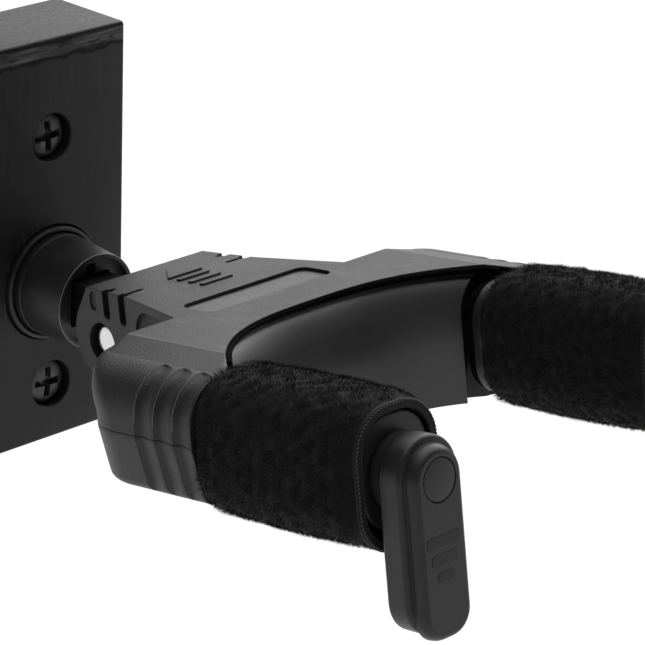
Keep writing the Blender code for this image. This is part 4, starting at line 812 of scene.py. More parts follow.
def black_oxide(colours):
    """Blackened screw steel, rubbed lighter in fine turned scratches."""
    finish = Finish("black_oxide", 0.42, 0.55)
    scratch = finish.noise(1500.0, (1.0, 1.0, 0.2), 5.0)
    finish.tint(finish.spread(scratch, 0.55, 0.8), opaque(colours.oxide), opaque(colours.oxide, 3.5))
    finish.give("Roughness", finish.spread(scratch, 0.3, 0.7, 0.36, 0.5))
    finish.relief(scratch, 0.12, 0.03)
    return finish.material


def ground_steel(colours):
    """Ground steel with fine scratches round its length."""
    finish = Finish("ground_steel", 0.2, 1.0)
    ground = finish.noise(3000.0, (0.05, 1.0, 1.0), 4.0)
    finish.tint(ground, opaque(colours.steel, 0.8), opaque(colours.steel))
    finish.give("Roughness", finish.spread(ground, 0.3, 0.7, 0.14, 0.28))
    finish.relief(ground, 0.1, 0.02)
    return finish.material


def satin_paint(colours):
    """Black paint on steel with a light orange-peel and rubbed spots, darkened as painted shade."""
    finish = Finish("satin_paint", 0.55, specular=0.14)
    peel = finish.noise(1100.0, detail=2.0)
    rub = finish.noise(300.0, detail=5.0)
    # Colour a tenth to four tenths of the oxide's: darkened to paint the shade the tongue and works sit in
    finish.tint(finish.spread(rub, 0.6, 0.8), opaque(colours.oxide, 0.1), opaque(colours.oxide, 0.4))
    finish.give("Roughness", finish.spread(rub, 0.3, 0.7, 0.5, 0.6))
    finish.relief(peel, 0.15, 0.04)
    return finish.material


def natural_acetal(colours):
    """Milky bearing plastic with faint machining lines."""
    finish = Finish("natural_acetal", 0.38)
    milky = finish.noise(200.0)
    lines = finish.noise(2500.0, (1.0, 0.05, 1.0), 2.0)
    finish.tint(milky, opaque(colours.acetal, 0.88), opaque(colours.acetal, 1.05))
    finish.give("Roughness", finish.spread(lines, 0.3, 0.7, 0.32, 0.44))
    finish.relief(lines, 0.1, 0.02)
    return finish.material


# Plastics by name: colour, roughness and depth of grain; the light grey one paints highlights on edges
PLASTICS = {"moulded_plastic": ("plastic", 0.46, 0.8), "smooth_plastic": ("plastic", 0.42, 0.12),
            "lever_mark": ("marks", 0.5, 0.15), "label_plastic": ("label", 0.42, 0.12),
            "rubbed_plastic": ("rubbed", 0.45, 0.1)}
OTHER_FINISHES = {maker.__name__: maker for maker in (
    stained_board, satin_rubber, matte_foam, plush_fibre, woven_tape, sewing_thread, black_oxide,
    ground_steel, satin_paint, natural_acetal)}


def finish_of(name):
    """The material of a name, made on first use."""
    found = bpy.data.materials.get(name)
    if found:
        return found
    colours = bpy.context.scene.hanger_colours
    if name in PLASTICS:
        shade, roughness, grain = PLASTICS[name]
        return moulded_plastic(name, getattr(colours, shade), roughness, grain)
    return OTHER_FINISHES[name](colours)


class HANGER_OT_plate(bpy.types.Operator):
    """Wooden plate: board whose edges round off, bored for the collar and the screws"""

    bl_idname = "hanger.plate"
    bl_label = "Wall plate"

    def execute(self, context):
        thick, low, high = -PLATE_LOW[1], PLATE_LOW[2], PLATE_HIGH[2]
        corners = box_loop(0.0, thick, low, high)
        turn = np.linspace(0.0, np.pi / 2, 5)
        insets = PLATE_EDGE * (1.0 - np.sin(turn))
        ends = PLATE_LOW[0] + PLATE_EDGE * (1.0 - np.cos(turn))
        loops = [softened(inset_corners(corners, inset), PLATE_EDGE) for inset in (*insets, *insets[::-1])]
        board = skin("plate_board", on_wall(lofted(loops, "x", [*ends, *-ends[::-1]])))
        bore = [(0, BORE_FLOOR_OUT), (BORE_RADIUS, BORE_FLOOR_OUT), (BORE_RADIUS, thick - 0.3),
                (BORE_MOUTH_RADIUS, thick + PAST), (0, thick + PAST)]
        tools = [turned("bore", bore, "out", (0.0, 0.0), on_wall)]
        floor = WALL_SCREW["face"] - SCREW_WELL_DEPTH
        well = [(0, -PAST), (SCREW_HOLE_RADIUS, -PAST), (SCREW_HOLE_RADIUS, floor),
                (SCREW_WELL_RADIUS, floor), (SCREW_WELL_RADIUS, thick - 0.25),
                (SCREW_MOUTH_RADIUS, thick + 0.3), (0, thick + 0.3)]
        tools += [turned("screw_hole", well, "out", (0.0, height), on_wall, 64)
                  for height in SCREW_HEIGHTS.values()]
        carve(board, tools)
        dress(board, "stained_board", "wall_mount", ["wall_plate"])
        return {"FINISHED"}


def cross_screw(name, axis, centre, place, turn, face, radius, height, tip, shank, slot):
    """Screw with a domed head turned from a profile, and a cross slot with sloping walls cut in it. Its
    height is below zero where the screw points the other way."""
    dome = arc((0.0, face - DOME_SHARE * height), (radius, DOME_SHARE * height), 0, 90, 12)
    profile = [(0.0, tip), (shank, tip), (shank, face - height), (radius, face - height), *dome]
    screw = turned(name, profile, axis, centre, place, 64)
    levels = (face + math.copysign(0.5, height), face, face - SLOT_DEPTH_SHARE * height)
    tools = []
    for quarter in (0.0, 90.0):
        angle = math.radians(turn + quarter)
        along = np.array([math.cos(angle), math.sin(angle)]) * slot / 2
        across = np.array([-along[1], along[0]]) * 2 * SLOT_WIDTH_SHARE
        loops = [np.array(centre) + [long * along + wide * across, -long * along + wide * across,
                                     -long * along - wide * across, long * along - wide * across]
                 for long, wide in ((1.0, 1.05), (1.0, 1.0), (0.9, 0.85))]
        tools.append(skin("slot", place(lofted(loops, axis, levels))))
    return carve(screw, tools)


class HANGER_OT_wall_screws(bpy.types.Operator):
    """Two domed cross-head screws sunk in the plate"""

    bl_idname = "hanger.wall_screws"
    bl_label = "Wall screws"

    def execute(self, context):
        for (name, height), turn in zip(SCREW_HEIGHTS.items(), SCREW_TURNS):
            screw = cross_screw(f"{name}_screw_head", "out", (0.0, height), on_wall, turn, **WALL_SCREW)
            dress(screw, "black_oxide", "wall_mount", [f"{name}_wall_screw"])
        return {"FINISHED"}


class HANGER_OT_collar(bpy.types.Operator):
    """Pressed-in ring and the swivel collar with its sharp rim, sunk face, key slot and tongue pocket, and a
    painted highlight round the rim
    """

    bl_idname = "hanger.collar"
    bl_label = "Swivel collar"

    def execute(self, context):
        middle = (0.0, 0.0)
        inner = RING_RADIUS - RING_WIDTH
        lip = arc((RING_RADIUS - RING_ROUND, RING_FRONT_OUT - RING_ROUND), (RING_ROUND, RING_ROUND), 0, 90, 6)
        profile = [(inner, RING_REAR_OUT), (RING_RADIUS, RING_REAR_OUT), *lip, (inner + 0.15, RING_FRONT_OUT),
                   (inner, RING_FRONT_OUT - 0.15)]
        ring = turned("collar_ring", profile, "out", middle, on_wall, COLLAR_STEPS, closed=True)
        dress(ring, "smooth_plastic", "wall_mount", ["base_ring"])

        base, rim, front = COLLAR_BASE_RADIUS, COLLAR_RIM_RADIUS, COLLAR_FRONT_OUT
        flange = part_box("swivel_collar")[1][1] / -MM
        inside, face = rim - COLLAR_RIM_WIDTH, front - COLLAR_SUNK
        groove = [(base - deep, COLLAR_GROOVE_OUT + along)
                  for deep, along in ((0.0, 0.0), (0.3, 0.15), (0.3, 0.45), (0.0, 0.6))]
        profile = [(0, flange), (FLANGE_RADIUS, flange), (FLANGE_RADIUS, flange + FLANGE_THICKNESS),
                   (base, flange + FLANGE_THICKNESS), *groove, (rim, front - COLLAR_RIM_CHAMFER),
                   (rim - COLLAR_RIM_CHAMFER, front), (inside + 0.1, front), (inside, front - 0.1),
                   (inside, face), (0, face)]
        collar = turned("collar_body", profile, "out", middle, on_wall, COLLAR_STEPS)
        pocket = box_loop(-POCKET_HALF, POCKET_HALF, -POCKET_HALF, POCKET_HALF)
        key = box_loop(-KEY_HALF, KEY_HALF, *KEY_UPS)
        way = circle(middle, SCREW_WAY_RADIUS, 40)
        floor = front - POCKET_DEPTH
        carve(collar, [prism("pocket", pocket, "out", floor, front + PAST, on_wall),
                       prism("key_slot", key, "out", front - KEY_DEPTH, front + PAST, on_wall),
                       prism("screw_way", way, "out", flange - PAST, floor + PAST, on_wall)])
        dress(collar, "smooth_plastic", "swivel", ["swivel_collar"])

        # Thin light ring on the rim's chamfer: a painted highlight
        edge = circle((rim - COLLAR_RIM_CHAMFER, front - COLLAR_RIM_CHAMFER / 2), COLLAR_RIM_HIGHLIGHT, 8)
        line = turned("collar_rim_line", edge, "out", middle, on_wall, COLLAR_STEPS, closed=True)
        dress(line, "rubbed_plastic", "swivel", crisp=80.0)
        return {"FINISHED"}


def shoulder_arc(start, steps):
    """Elliptical shoulder from the facet's edge, or just past it, down to the upright side, as (x, up)."""
    radii = (SHOULDER_HALF - FACET_HALF, TOP_UP - FACET_DROP - SIDE_TOP_UP)
    return arc((FACET_HALF, SIDE_TOP_UP), radii, start, 0, steps)


def shoulder_profile():
    """Half widths by height, from the crease down: sloping facet, elliptical shoulder, a side that leans
    in below the parting, a rounded foot and the sloping underside."""
    side = np.array([SHOULDER_HALF, LEAN_UP])
    foot = np.array([FOOT_HALF, FOOT_UP])
    bottom = np.array([SHOULDER_BOTTOM_HALF, BOTTOM_UP])
    start = foot + unit(side - foot) * FOOT_ROUND
    end = foot + unit(bottom - foot) * FOOT_ROUND
    rounded = bent(start, foot, end, np.linspace(0.0, 1.0, 9)[:, None])
    return np.concatenate([[(CREASE_HALF, TOP_UP)], shoulder_arc(90, 24), [side], rounded, [bottom]])


def yoke_loop(half, level):
    """Outline of the yoke at a height, as (x, out): neck, notch, rounded shoulder and the lip's curve."""
    share = np.clip((TOP_UP - level) / (TOP_UP - SIDE_TOP_UP), 0.0, 1.0)
    radius = CORNER_TOP_RADIUS + (CORNER_RADIUS - CORNER_TOP_RADIUS) * share ** 0.55
    lip_edge = LIP_RISE_HALF * ((SHOULDER_FRONT_OUT - LIP_APEX_OUT) / LIP_RISE) ** (1.0 / LIP_POWER)
    reach = min(half, lip_edge)
    front = min(SHOULDER_FRONT_OUT, float(lip_out(half)))
    neck = np.array([(NECK_REAR_HALF, NECK_REAR_OUT - CHEEK_RADIUS), (NECK_REAR_HALF, NECK_REAR_OUT),
                     (NECK_FLARE_HALF, NECK_FLARE_OUT), (NOTCH_HALF, NOTCH_OUT)])
    corner = arc((half - radius, NOTCH_OUT + radius), (radius, radius), -90, 0, 20)
    x = reach * np.linspace(1.0, 0.0, 49)
    lip = np.stack([x, np.minimum(lip_out(x), SHOULDER_FRONT_OUT)], -1)
    right = np.concatenate([neck, corner, [(half, front)], lip])
    left = right[-2::-1] * (-1.0, 1.0)
    return np.concatenate([right, left])


def yoke_form(name):
    """Outer form: loops stacked by height, met by the side view's outline carried across."""
    profile = shoulder_profile()
    loops = [yoke_loop(half, level) for half, level in profile]
    form = skin(name, on_yoke(lofted(loops, "up", profile[:, 1])))
    front, low = SHOULDER_FRONT_OUT + PAST, BOTTOM_UP - PAST
    side = np.concatenate([
        [(NECK_REAR_OUT, TOP_UP + PAST), (front, TOP_UP + PAST), (front, low)],
        [(NECK_UNDERSIDE[0][0] - PAST, low), *NECK_UNDERSIDE],
        arc((CHEEK_OUT, CHEEK_UP), (CHEEK_RADIUS, CHEEK_RADIUS), -80, -210, 40)])
    return carve(form, [prism("side_view", side, "x", -PAST_HALF, PAST_HALF)], "INTERSECT")


def flute_path():
    """Line of a flute down the shoulder's section as (x, up), with its outward directions: over the
    elliptical shoulder and down the leaning side."""
    lean = np.array([FOOT_HALF - SHOULDER_HALF, FOOT_UP - LEAN_UP])
    side = np.array([SHOULDER_HALF, LEAN_UP]) + np.linspace(0.0, 1.3, LEAN_STEPS)[:, None] * lean
    path = np.concatenate([shoulder_arc(88, 43), side])
    ahead = unit(np.gradient(path, axis=0))
    return path, np.stack([-ahead[:, 1], ahead[:, 0]], -1)


def flute_rear(path, out):
    """Rear edge of a flute along its path, and how far it has grown: a quarter circle from its upper end."""
    along = np.concatenate([[0.0], np.cumsum(np.linalg.norm(np.diff(path, axis=0), axis=1))])
    grown = np.sqrt(1.0 - np.clip(1.0 - along / FLUTE_GROWTH, 0.0, 1.0) ** 2)
    return out + FLUTE_LEAD * (1.0 - grown), grown


def flute_tool(sign, out):
    """Groove tool along the shoulder's skin: a sloping rear wall, then a floor that rises to the front."""
    sizes = bpy.context.scene.hanger_sizes
    width, depth = sizes.flute_width / MM, sizes.flute_depth / MM
    path, outward = flute_path()
    rear, grown = flute_rear(path, out)
    grown = grown[:, None]
    section = np.array([(-0.02, 1.2), (0.0, -0.15 * depth), (0.22, -depth), (0.42, -0.8 * depth),
                        (1.2, 0.4 * depth), (1.2, 1.2)])
    sunk = np.where(section[:, 1] < 0.0, section[:, 1] * (0.2 + 0.8 * grown), section[:, 1])
    x = path[:, None, 0] + outward[:, None, 0] * sunk
    up = path[:, None, 1] + outward[:, None, 1] * sunk
    across = rear[:, None] + (FLUTE_TIP_WIDTH + (width - FLUTE_TIP_WIDTH) * grown) * section[:, 0]
    return skin("flute", on_yoke(np.stack([sign * x, across, up], -1)))


def scoop_tool(sign):
    """Arched recess in the neck's side, under the top and behind the shoulder."""
    low = BOTTOM_UP - 2 * PAST
    arch = arc((SCOOP_REAR_OUT + SCOOP_RADIUS, SCOOP_ROOF_UP - SCOOP_RADIUS), (SCOOP_RADIUS, SCOOP_RADIUS),
               90, 180, 18)
    outline = np.concatenate([[(SCOOP_REAR_OUT, low), (NOTCH_OUT, low), (NOTCH_OUT, SCOOP_ROOF_UP)], arch])
    return prism("scoop", outline, "x", *sorted((sign * SCOOP_HALF, sign * (NOTCH_HALF + PAST))))


def yoke_front_tools():
    """Tools that both shells share: liner's seat, lock drive, trims, arms, flutes and scoops."""
    seat = lip_offset(np.linspace(-SEAT_END_HALF, SEAT_END_HALF, 91), -LINER_THICKNESS - SEAT_ROOM)
    ends = np.array([(ARM_HALF, TRIM_SEAT_OUT), (ARM_HALF, PAST_FRONT_OUT)])
    seat = np.concatenate([seat, ends, ends[::-1] * (-1.0, 1.0)])
    x = np.linspace(PAST - CREASE_HALF, CREASE_HALF - PAST, 81)
    gap = np.concatenate([lip_offset(x, -LIP_GAP_DEPTH), lip_offset(x[::-1], PAST)])
    cross = np.concatenate([CROSS_ROOM, np.array(CROSS_ROOM)[::-1] * (-1.0, 1.0)])
    tools = [prism("liner_seat", seat, "up", BOTTOM_UP - PAST, LIP_UNDER_UP),
             prism("lip_gap", gap, "up", LINER_TOP_UP - PAST, LIP_GAP_UP),
             prism("cross_room", cross, "out", *CROSS_ROOM_OUTS)]
    for sign in SIDES.values():
        centre = (sign * ARM_HALF, ARM_UP)
        trim = rounded_loop(*(size + TRIM_ROOM for size in TRIM_SIZE), (sign * TRIM_HALF, ARM_UP), 12)
        arm = rounded_loop(*ARM_WAY, centre, 12)
        tools += [prism("shaft_bore", circle(centre, SHAFT_BORE_RADIUS, 48), "out", *SHAFT_BORE_OUTS),
                  prism("trim_seat", trim, "out", TRIM_SEAT_OUT, PAST_FRONT_OUT),
                  prism("arm_seat", arm, "out", ARM_SEAT_OUT, PAST_FRONT_OUT)]
        tools += [flute_tool(sign, out) for out in FLUTE_OUTS]
        tools.append(scoop_tool(sign))
    return tools


class HANGER_OT_yoke(bpy.types.Operator):
    """Upper and lower shell, label plate, raised arrow and painted highlights along edges"""

    bl_idname = "hanger.yoke"
    bl_label = "Yoke shells"

    def execute(self, context):
        self.upper()
        self.lower()
        self.arrow(context)
        self.painted_highlight_lines()
        paint(frame["nodes"]["label_plate"], "label_plastic")
        return {"FINISHED"}

    def upper(self):
        """Shell above the parting, with the tongue's slot, the label recess, pin holes and cheek grooves."""
        shell = yoke_form("yoke_upper_skin")
        wide = box_loop(-PAST_HALF, PAST_HALF, PARTING_REAR_OUT, PAST_OUT)
        slot = box_loop(-TONGUE_SLOT_HALF, TONGUE_SLOT_HALF, BOTTOM_UP - PAST, TONGUE_SLOT_TOP_UP)
        label = rounded_loop(LABEL_SIZE[0] / 2, LABEL_SIZE[1] / 2, LABEL_RADIUS, (0.0, LABEL_OUT), 8)
        tools = [prism("below", wide, "up", BOTTOM_UP - PAST, PARTING_UP + PARTING_GAP),
                 prism("tongue_slot", slot, "out", PAST_NECK_OUT, TONGUE_SLOT_FRONT_OUT),
                 prism("label_recess", label, "up", TOP_UP - LABEL_DEPTH, TOP_UP + PAST)]
        tools += yoke_front_tools()
        hole = circle((0, 0), PIN_HOLE_RADIUS, 48)
        for sign in SIDES.values():
            ends = sorted((sign * PIN_HOLE_HALF, sign * GROOVE_PAST_HALF))
            tools.append(prism("pin_hole", hole, "x", *ends))
            tools += [tool for groove in CHEEK_GROOVES for tool in self.groove_tools(sign, *groove)]
        carve(shell, tools)
        dress(shell, "moulded_plastic", "yoke", ["yoke_upper_shell"], 8.0, True)

    def lower(self):
        """Shell below the parting, with the tongue's room and wells for the screws."""
        shell = yoke_form("yoke_lower_skin")
        room = box_loop(-PAST_HALF, PAST_HALF, PARTING_REAR_OUT + PARTING_REAR_GAP, PAST_OUT)
        below = prism("lower_room", room, "up", BOTTOM_UP - PAST, PARTING_UP - PARTING_GAP)
        carve(shell, [below], "INTERSECT")
        slot = box_loop(-TONGUE_SLOT_HALF, TONGUE_SLOT_HALF, TONGUE_SLOT_FLOOR_UP, TONGUE_SLOT_TOP_UP)
        tools = yoke_front_tools()
        tools.append(prism("tongue_slot", slot, "out", PARTING_REAR_OUT - 3 * PAST, TONGUE_SLOT_FRONT_OUT))
        wells = [circle((sign * half, out), SHELL_SCREW_WELL_RADIUS, 36)
                 for half, out in SHELL_SCREWS.values() for sign in SIDES.values()]
        tools += [prism("screw_well", well, "up", BOTTOM_UP - PAST, SHELL_SCREW_WELL_UP) for well in wells]
        carve(shell, tools)
        dress(shell, "moulded_plastic", "yoke", ["yoke_lower_shell"], 8.0, True)

    def groove_tools(self, sign, out, bottom, depth, inward):
        """Upright groove on a cheek with a round foot, and the slot that runs on over the top face."""
        flare = (NECK_FLARE_HALF - NECK_REAR_HALF) / (NECK_FLARE_OUT - NECK_REAR_OUT)
        surface = NECK_REAR_HALF + flare * (out - NECK_REAR_OUT)
        radii = (GROOVE_RADIUS, GROOVE_RADIUS)
        head = [(out + GROOVE_RADIUS, TOP_UP + PAST), (out - GROOVE_RADIUS, TOP_UP + PAST)]
        if not inward:
            head = arc((out, TOP_UP - GROOVE_HEAD_DROP), radii, 0, 180, 12)
        outline = np.concatenate([arc((out, bottom + GROOVE_RADIUS), radii, 180, 360, 12), head])
        outer = sign * GROOVE_PAST_HALF
        tools = [prism("cheek_groove", outline, "x", *sorted((sign * (surface - depth), outer)))]
        if inward:
            low, high = sorted((sign * (surface - inward), outer))
            slot = rounded_loop((high - low) / 2, TOP_SLOT_HALF, TOP_SLOT_RADIUS, ((low + high) / 2, out), 5)
            tools.append(prism("top_slot", slot, "up", TOP_UP - TOP_SLOT_DEPTH, TOP_UP + PAST))
        return tools

    def painted_highlight_lines(self):
        """Thin light lines that paint highlights: along each crease and down the rear of each flute."""
        path, outward = flute_path()
        line = (path - 0.05 * outward)[:-LEAN_STEPS]
        for side, sign in SIDES.items():
            out = np.linspace(NOTCH_OUT + 0.3, float(lip_out(CREASE_HALF)) - 0.3, 12)
            crease = np.column_stack([np.full(12, sign * CREASE_HALF), out, np.full(12, TOP_UP - 0.1)])
            lines = [beaded(f"{side}_crease_line", crease, (1.0, 0.0, 0.0), CREASE_HIGHLIGHT)]
            for number, place in enumerate(FLUTE_OUTS):
                rear = flute_rear(path, place)[0][:-LEAN_STEPS]
                edge = np.column_stack([sign * line[:, 0], rear - 0.03, line[:, 1]])
                lines.append(beaded(f"{side}_flute_line_{number}", edge, (0.0, 1.0, 0.0), FLUTE_HIGHLIGHT))
            for bead in lines:
                dress(bead, "rubbed_plastic", "yoke", crisp=60.0)

    def arrow(self, context):
        """Raised triangle that points at the wall, and three raised bars behind it."""
        height = context.scene.hanger_sizes.mark_height / MM
        marks = [softened(np.array(ARROW_CORNERS), 0.15, 4)]
        marks += [rounded_loop(*ARROW_BAR_SIZE, (ARROW_BAR_X, out), 4) for out in ARROW_BAR_OUTS]
        pieces = [prism(f"arrow_part_{number}", mark, "up", TOP_UP - MARK_SUNK, TOP_UP + height)
                  for number, mark in enumerate(marks)]
        arrow = carve(pieces[0], pieces[1:], "UNION")
        arrow.name = "arrow_mark"
        dress(arrow, "moulded_plastic", "yoke", crisp=25.0)


class HANGER_OT_liner(bpy.types.Operator):
    """Rubber lining, whose face rolls forward down a quarter ellipse and flares at its ends, and a dark bead
    under the lip that paints the shade of the gap
    """

    bl_idname = "hanger.liner"
    bl_label = "Neck liner"

    def execute(self, context):
        face_up = LINER_TOP_UP + (LINER_BOTTOM_UP - LINER_TOP_UP) * np.linspace(0.0, 1.0, 44) ** 1.7
        fall = np.clip((LINER_TOP_UP - face_up) / LINER_ROLL_FALL, 0.0, 1.0)
        rolled = LINER_FACE_STEP - LINER_THICKNESS + LINER_ROLL_OUT * np.sqrt(1.0 - (1.0 - fall) ** 2)
        distance = np.concatenate([[-LINER_THICKNESS], rolled, [-LINER_THICKNESS]])
        up = np.concatenate([[LINER_TOP_UP], face_up, [LINER_BOTTOM_UP]])
        climb = np.clip((up - LINER_FLARE_UP) / (LINER_TOP_UP - LINER_FLARE_UP), 0.0, 0.995)
        end_half = LINER_END_HALF + LINER_END_FLARE * (1.0 - np.sqrt(1.0 - climb ** 2))
        x = np.linspace(-1.0, 1.0, 141)[:, None] * end_half
        flat = lip_offset(x, np.broadcast_to(distance, x.shape))
        grid = np.concatenate([flat, np.broadcast_to(up[None, :, None], (*x.shape, 1))], -1)
        liner = skin("liner_skin", on_yoke(grid))
        dress(liner, "satin_rubber", "yoke", ["neck_liner"], 40.0)

        # Dark bead along the lip's underside: painted shade in the gap above the liner
        place = np.linspace(-BEAD_END_HALF, BEAD_END_HALF, 81)
        radius = BEAD_RADIUS + BEAD_RADIUS * (place / BEAD_END_HALF) ** 2
        roof = TOP_UP - FACET_SLOPE * np.maximum(np.abs(place) - CREASE_HALF, 0.0)
        path = np.column_stack([lip_offset(place, radius), roof - BEAD_DROP - radius])
        bead = beaded("liner_bead", path, (0.0, 0.0, 1.0), radius[:, None, None])
        dress(bead, "matte_foam", "yoke", crisp=80.0)
        return {"FINISHED"}


class HANGER_OT_arms(bpy.types.Operator):
    """Arm tubes with rounded tips, and behind the sleeves the trim collars and dark rings that paint the
    shade in the trims' seats
    """

    bl_idname = "hanger.arms"
    bl_label = "Arms and trims"

    def execute(self, context):
        rear, front = TRIM_OUTS
        tube_profile = [(0.0, ARM_REAR_OUT), *rounded_step(0.0, ARM_TIP_OUT, ARM_TIP_ROUND, 7),
                        (None, ARM_TIP_OUT), (None, ARM_REAR_OUT)]
        trim_profile = [(TRIM_CHAMFER, rear), (0.0, rear + TRIM_CHAMFER),
                        *rounded_step(0.0, front, TRIM_ROUND, 5), (TRIM_WALL, front), (TRIM_WALL, rear)]
        # dark ring behind the trim, painted shade
        shade_ring_profile = box_loop(*SHADE_RING_INSETS, *SHADE_RING_OUTS)
        for side, sign in SIDES.items():
            centre = (sign * ARM_HALF, ARM_UP)
            tube = banded(f"{side}_arm", tube_profile, ARM_SIZE, centre, ARM_BORE_RADIUS)
            dress(tube, "smooth_plastic", "yoke", [f"{side}_arm_tube"], 35.0)
            hole = rounded_loop(*ARM_WAY, centre, 12)
            for name, profile, finish, slot, nodes in (
                    ("trim", trim_profile, "smooth_plastic", "black_plastic", [f"{side}_arm_trim"]),
                    ("trim_gasket", shade_ring_profile, "matte_foam", "black_rubber", ())):
                band = banded(f"{side}_{name}", profile, TRIM_SIZE, (sign * TRIM_HALF, ARM_UP))
                carve(band, [prism("arm_way", hole, "out", ARM_SEAT_OUT, PAST_FRONT_OUT)])
                dress(band, finish, "yoke", nodes, 35.0)
        return {"FINISHED"}


def closing(out):
    """How far the sleeve has rounded in to its hem, from 0 to 1 with a power of 1.5."""
    return np.clip(1.0 - (SLEEVE_FRONT_OUT - out) / SLEEVE_ROUND, 0.0, 1.0) ** 1.5


def sleeve_loop(out, sink):
    """Sleeve's section at a place: rounded rectangle that swells as a sine, tucks in at the rear and
    closes to the hem."""
    share = (out - SLEEVE_REAR_OUT) / (SLEEVE_FRONT_OUT - SLEEVE_REAR_OUT)
    close = float(closing(out))
    tuck = max(0.0, 1.0 - (out - SLEEVE_REAR_OUT) / 4.0) ** 6
    swell = 0.5 * math.sin(math.pi * share) - 1.3 * tuck - sink * (1.0 - 0.7 * close)
    half, top, bottom, radius = (wide + swell + close * (narrow - wide) for wide, narrow in (
        (SLEEVE_HALF, HEM_HALF), (SLEEVE_TOP, HEM_TOP), (SLEEVE_BOTTOM, HEM_BOTTOM),
        (SLEEVE_RADIUS, HEM_RADIUS)))
    loop = rounded_loop(half, (top + bottom) / 2, radius, (0.0, (top - bottom) / 2))
    return resampled(loop, SLEEVE_POINTS)


def sleeve_body(outs):
    """Sections of the sleeve's backing at places along the arm, one pile's depth below the surface."""
    return np.stack([sleeve_loop(float(out), PILE_ROOT_DEPTH) for out in outs])


def hem_loop(inset):
    """Outline of the sleeve's front end, drawn in by an inset."""
    tall, middle = (HEM_TOP + HEM_BOTTOM) / 2, (HEM_TOP - HEM_BOTTOM) / 2
    loop = rounded_loop(HEM_HALF - inset, tall - inset, HEM_RADIUS - inset, (0.0, middle))
    return resampled(loop, SLEEVE_POINTS)


def set_tones(piece, values):
    """Stores each point's tone, from dark to light, for the plush."""
    tone = piece.data.attributes.new("tone", "FLOAT", "POINT")
    tone.data.foreach_set("value", np.asarray(values, np.float32).ravel())


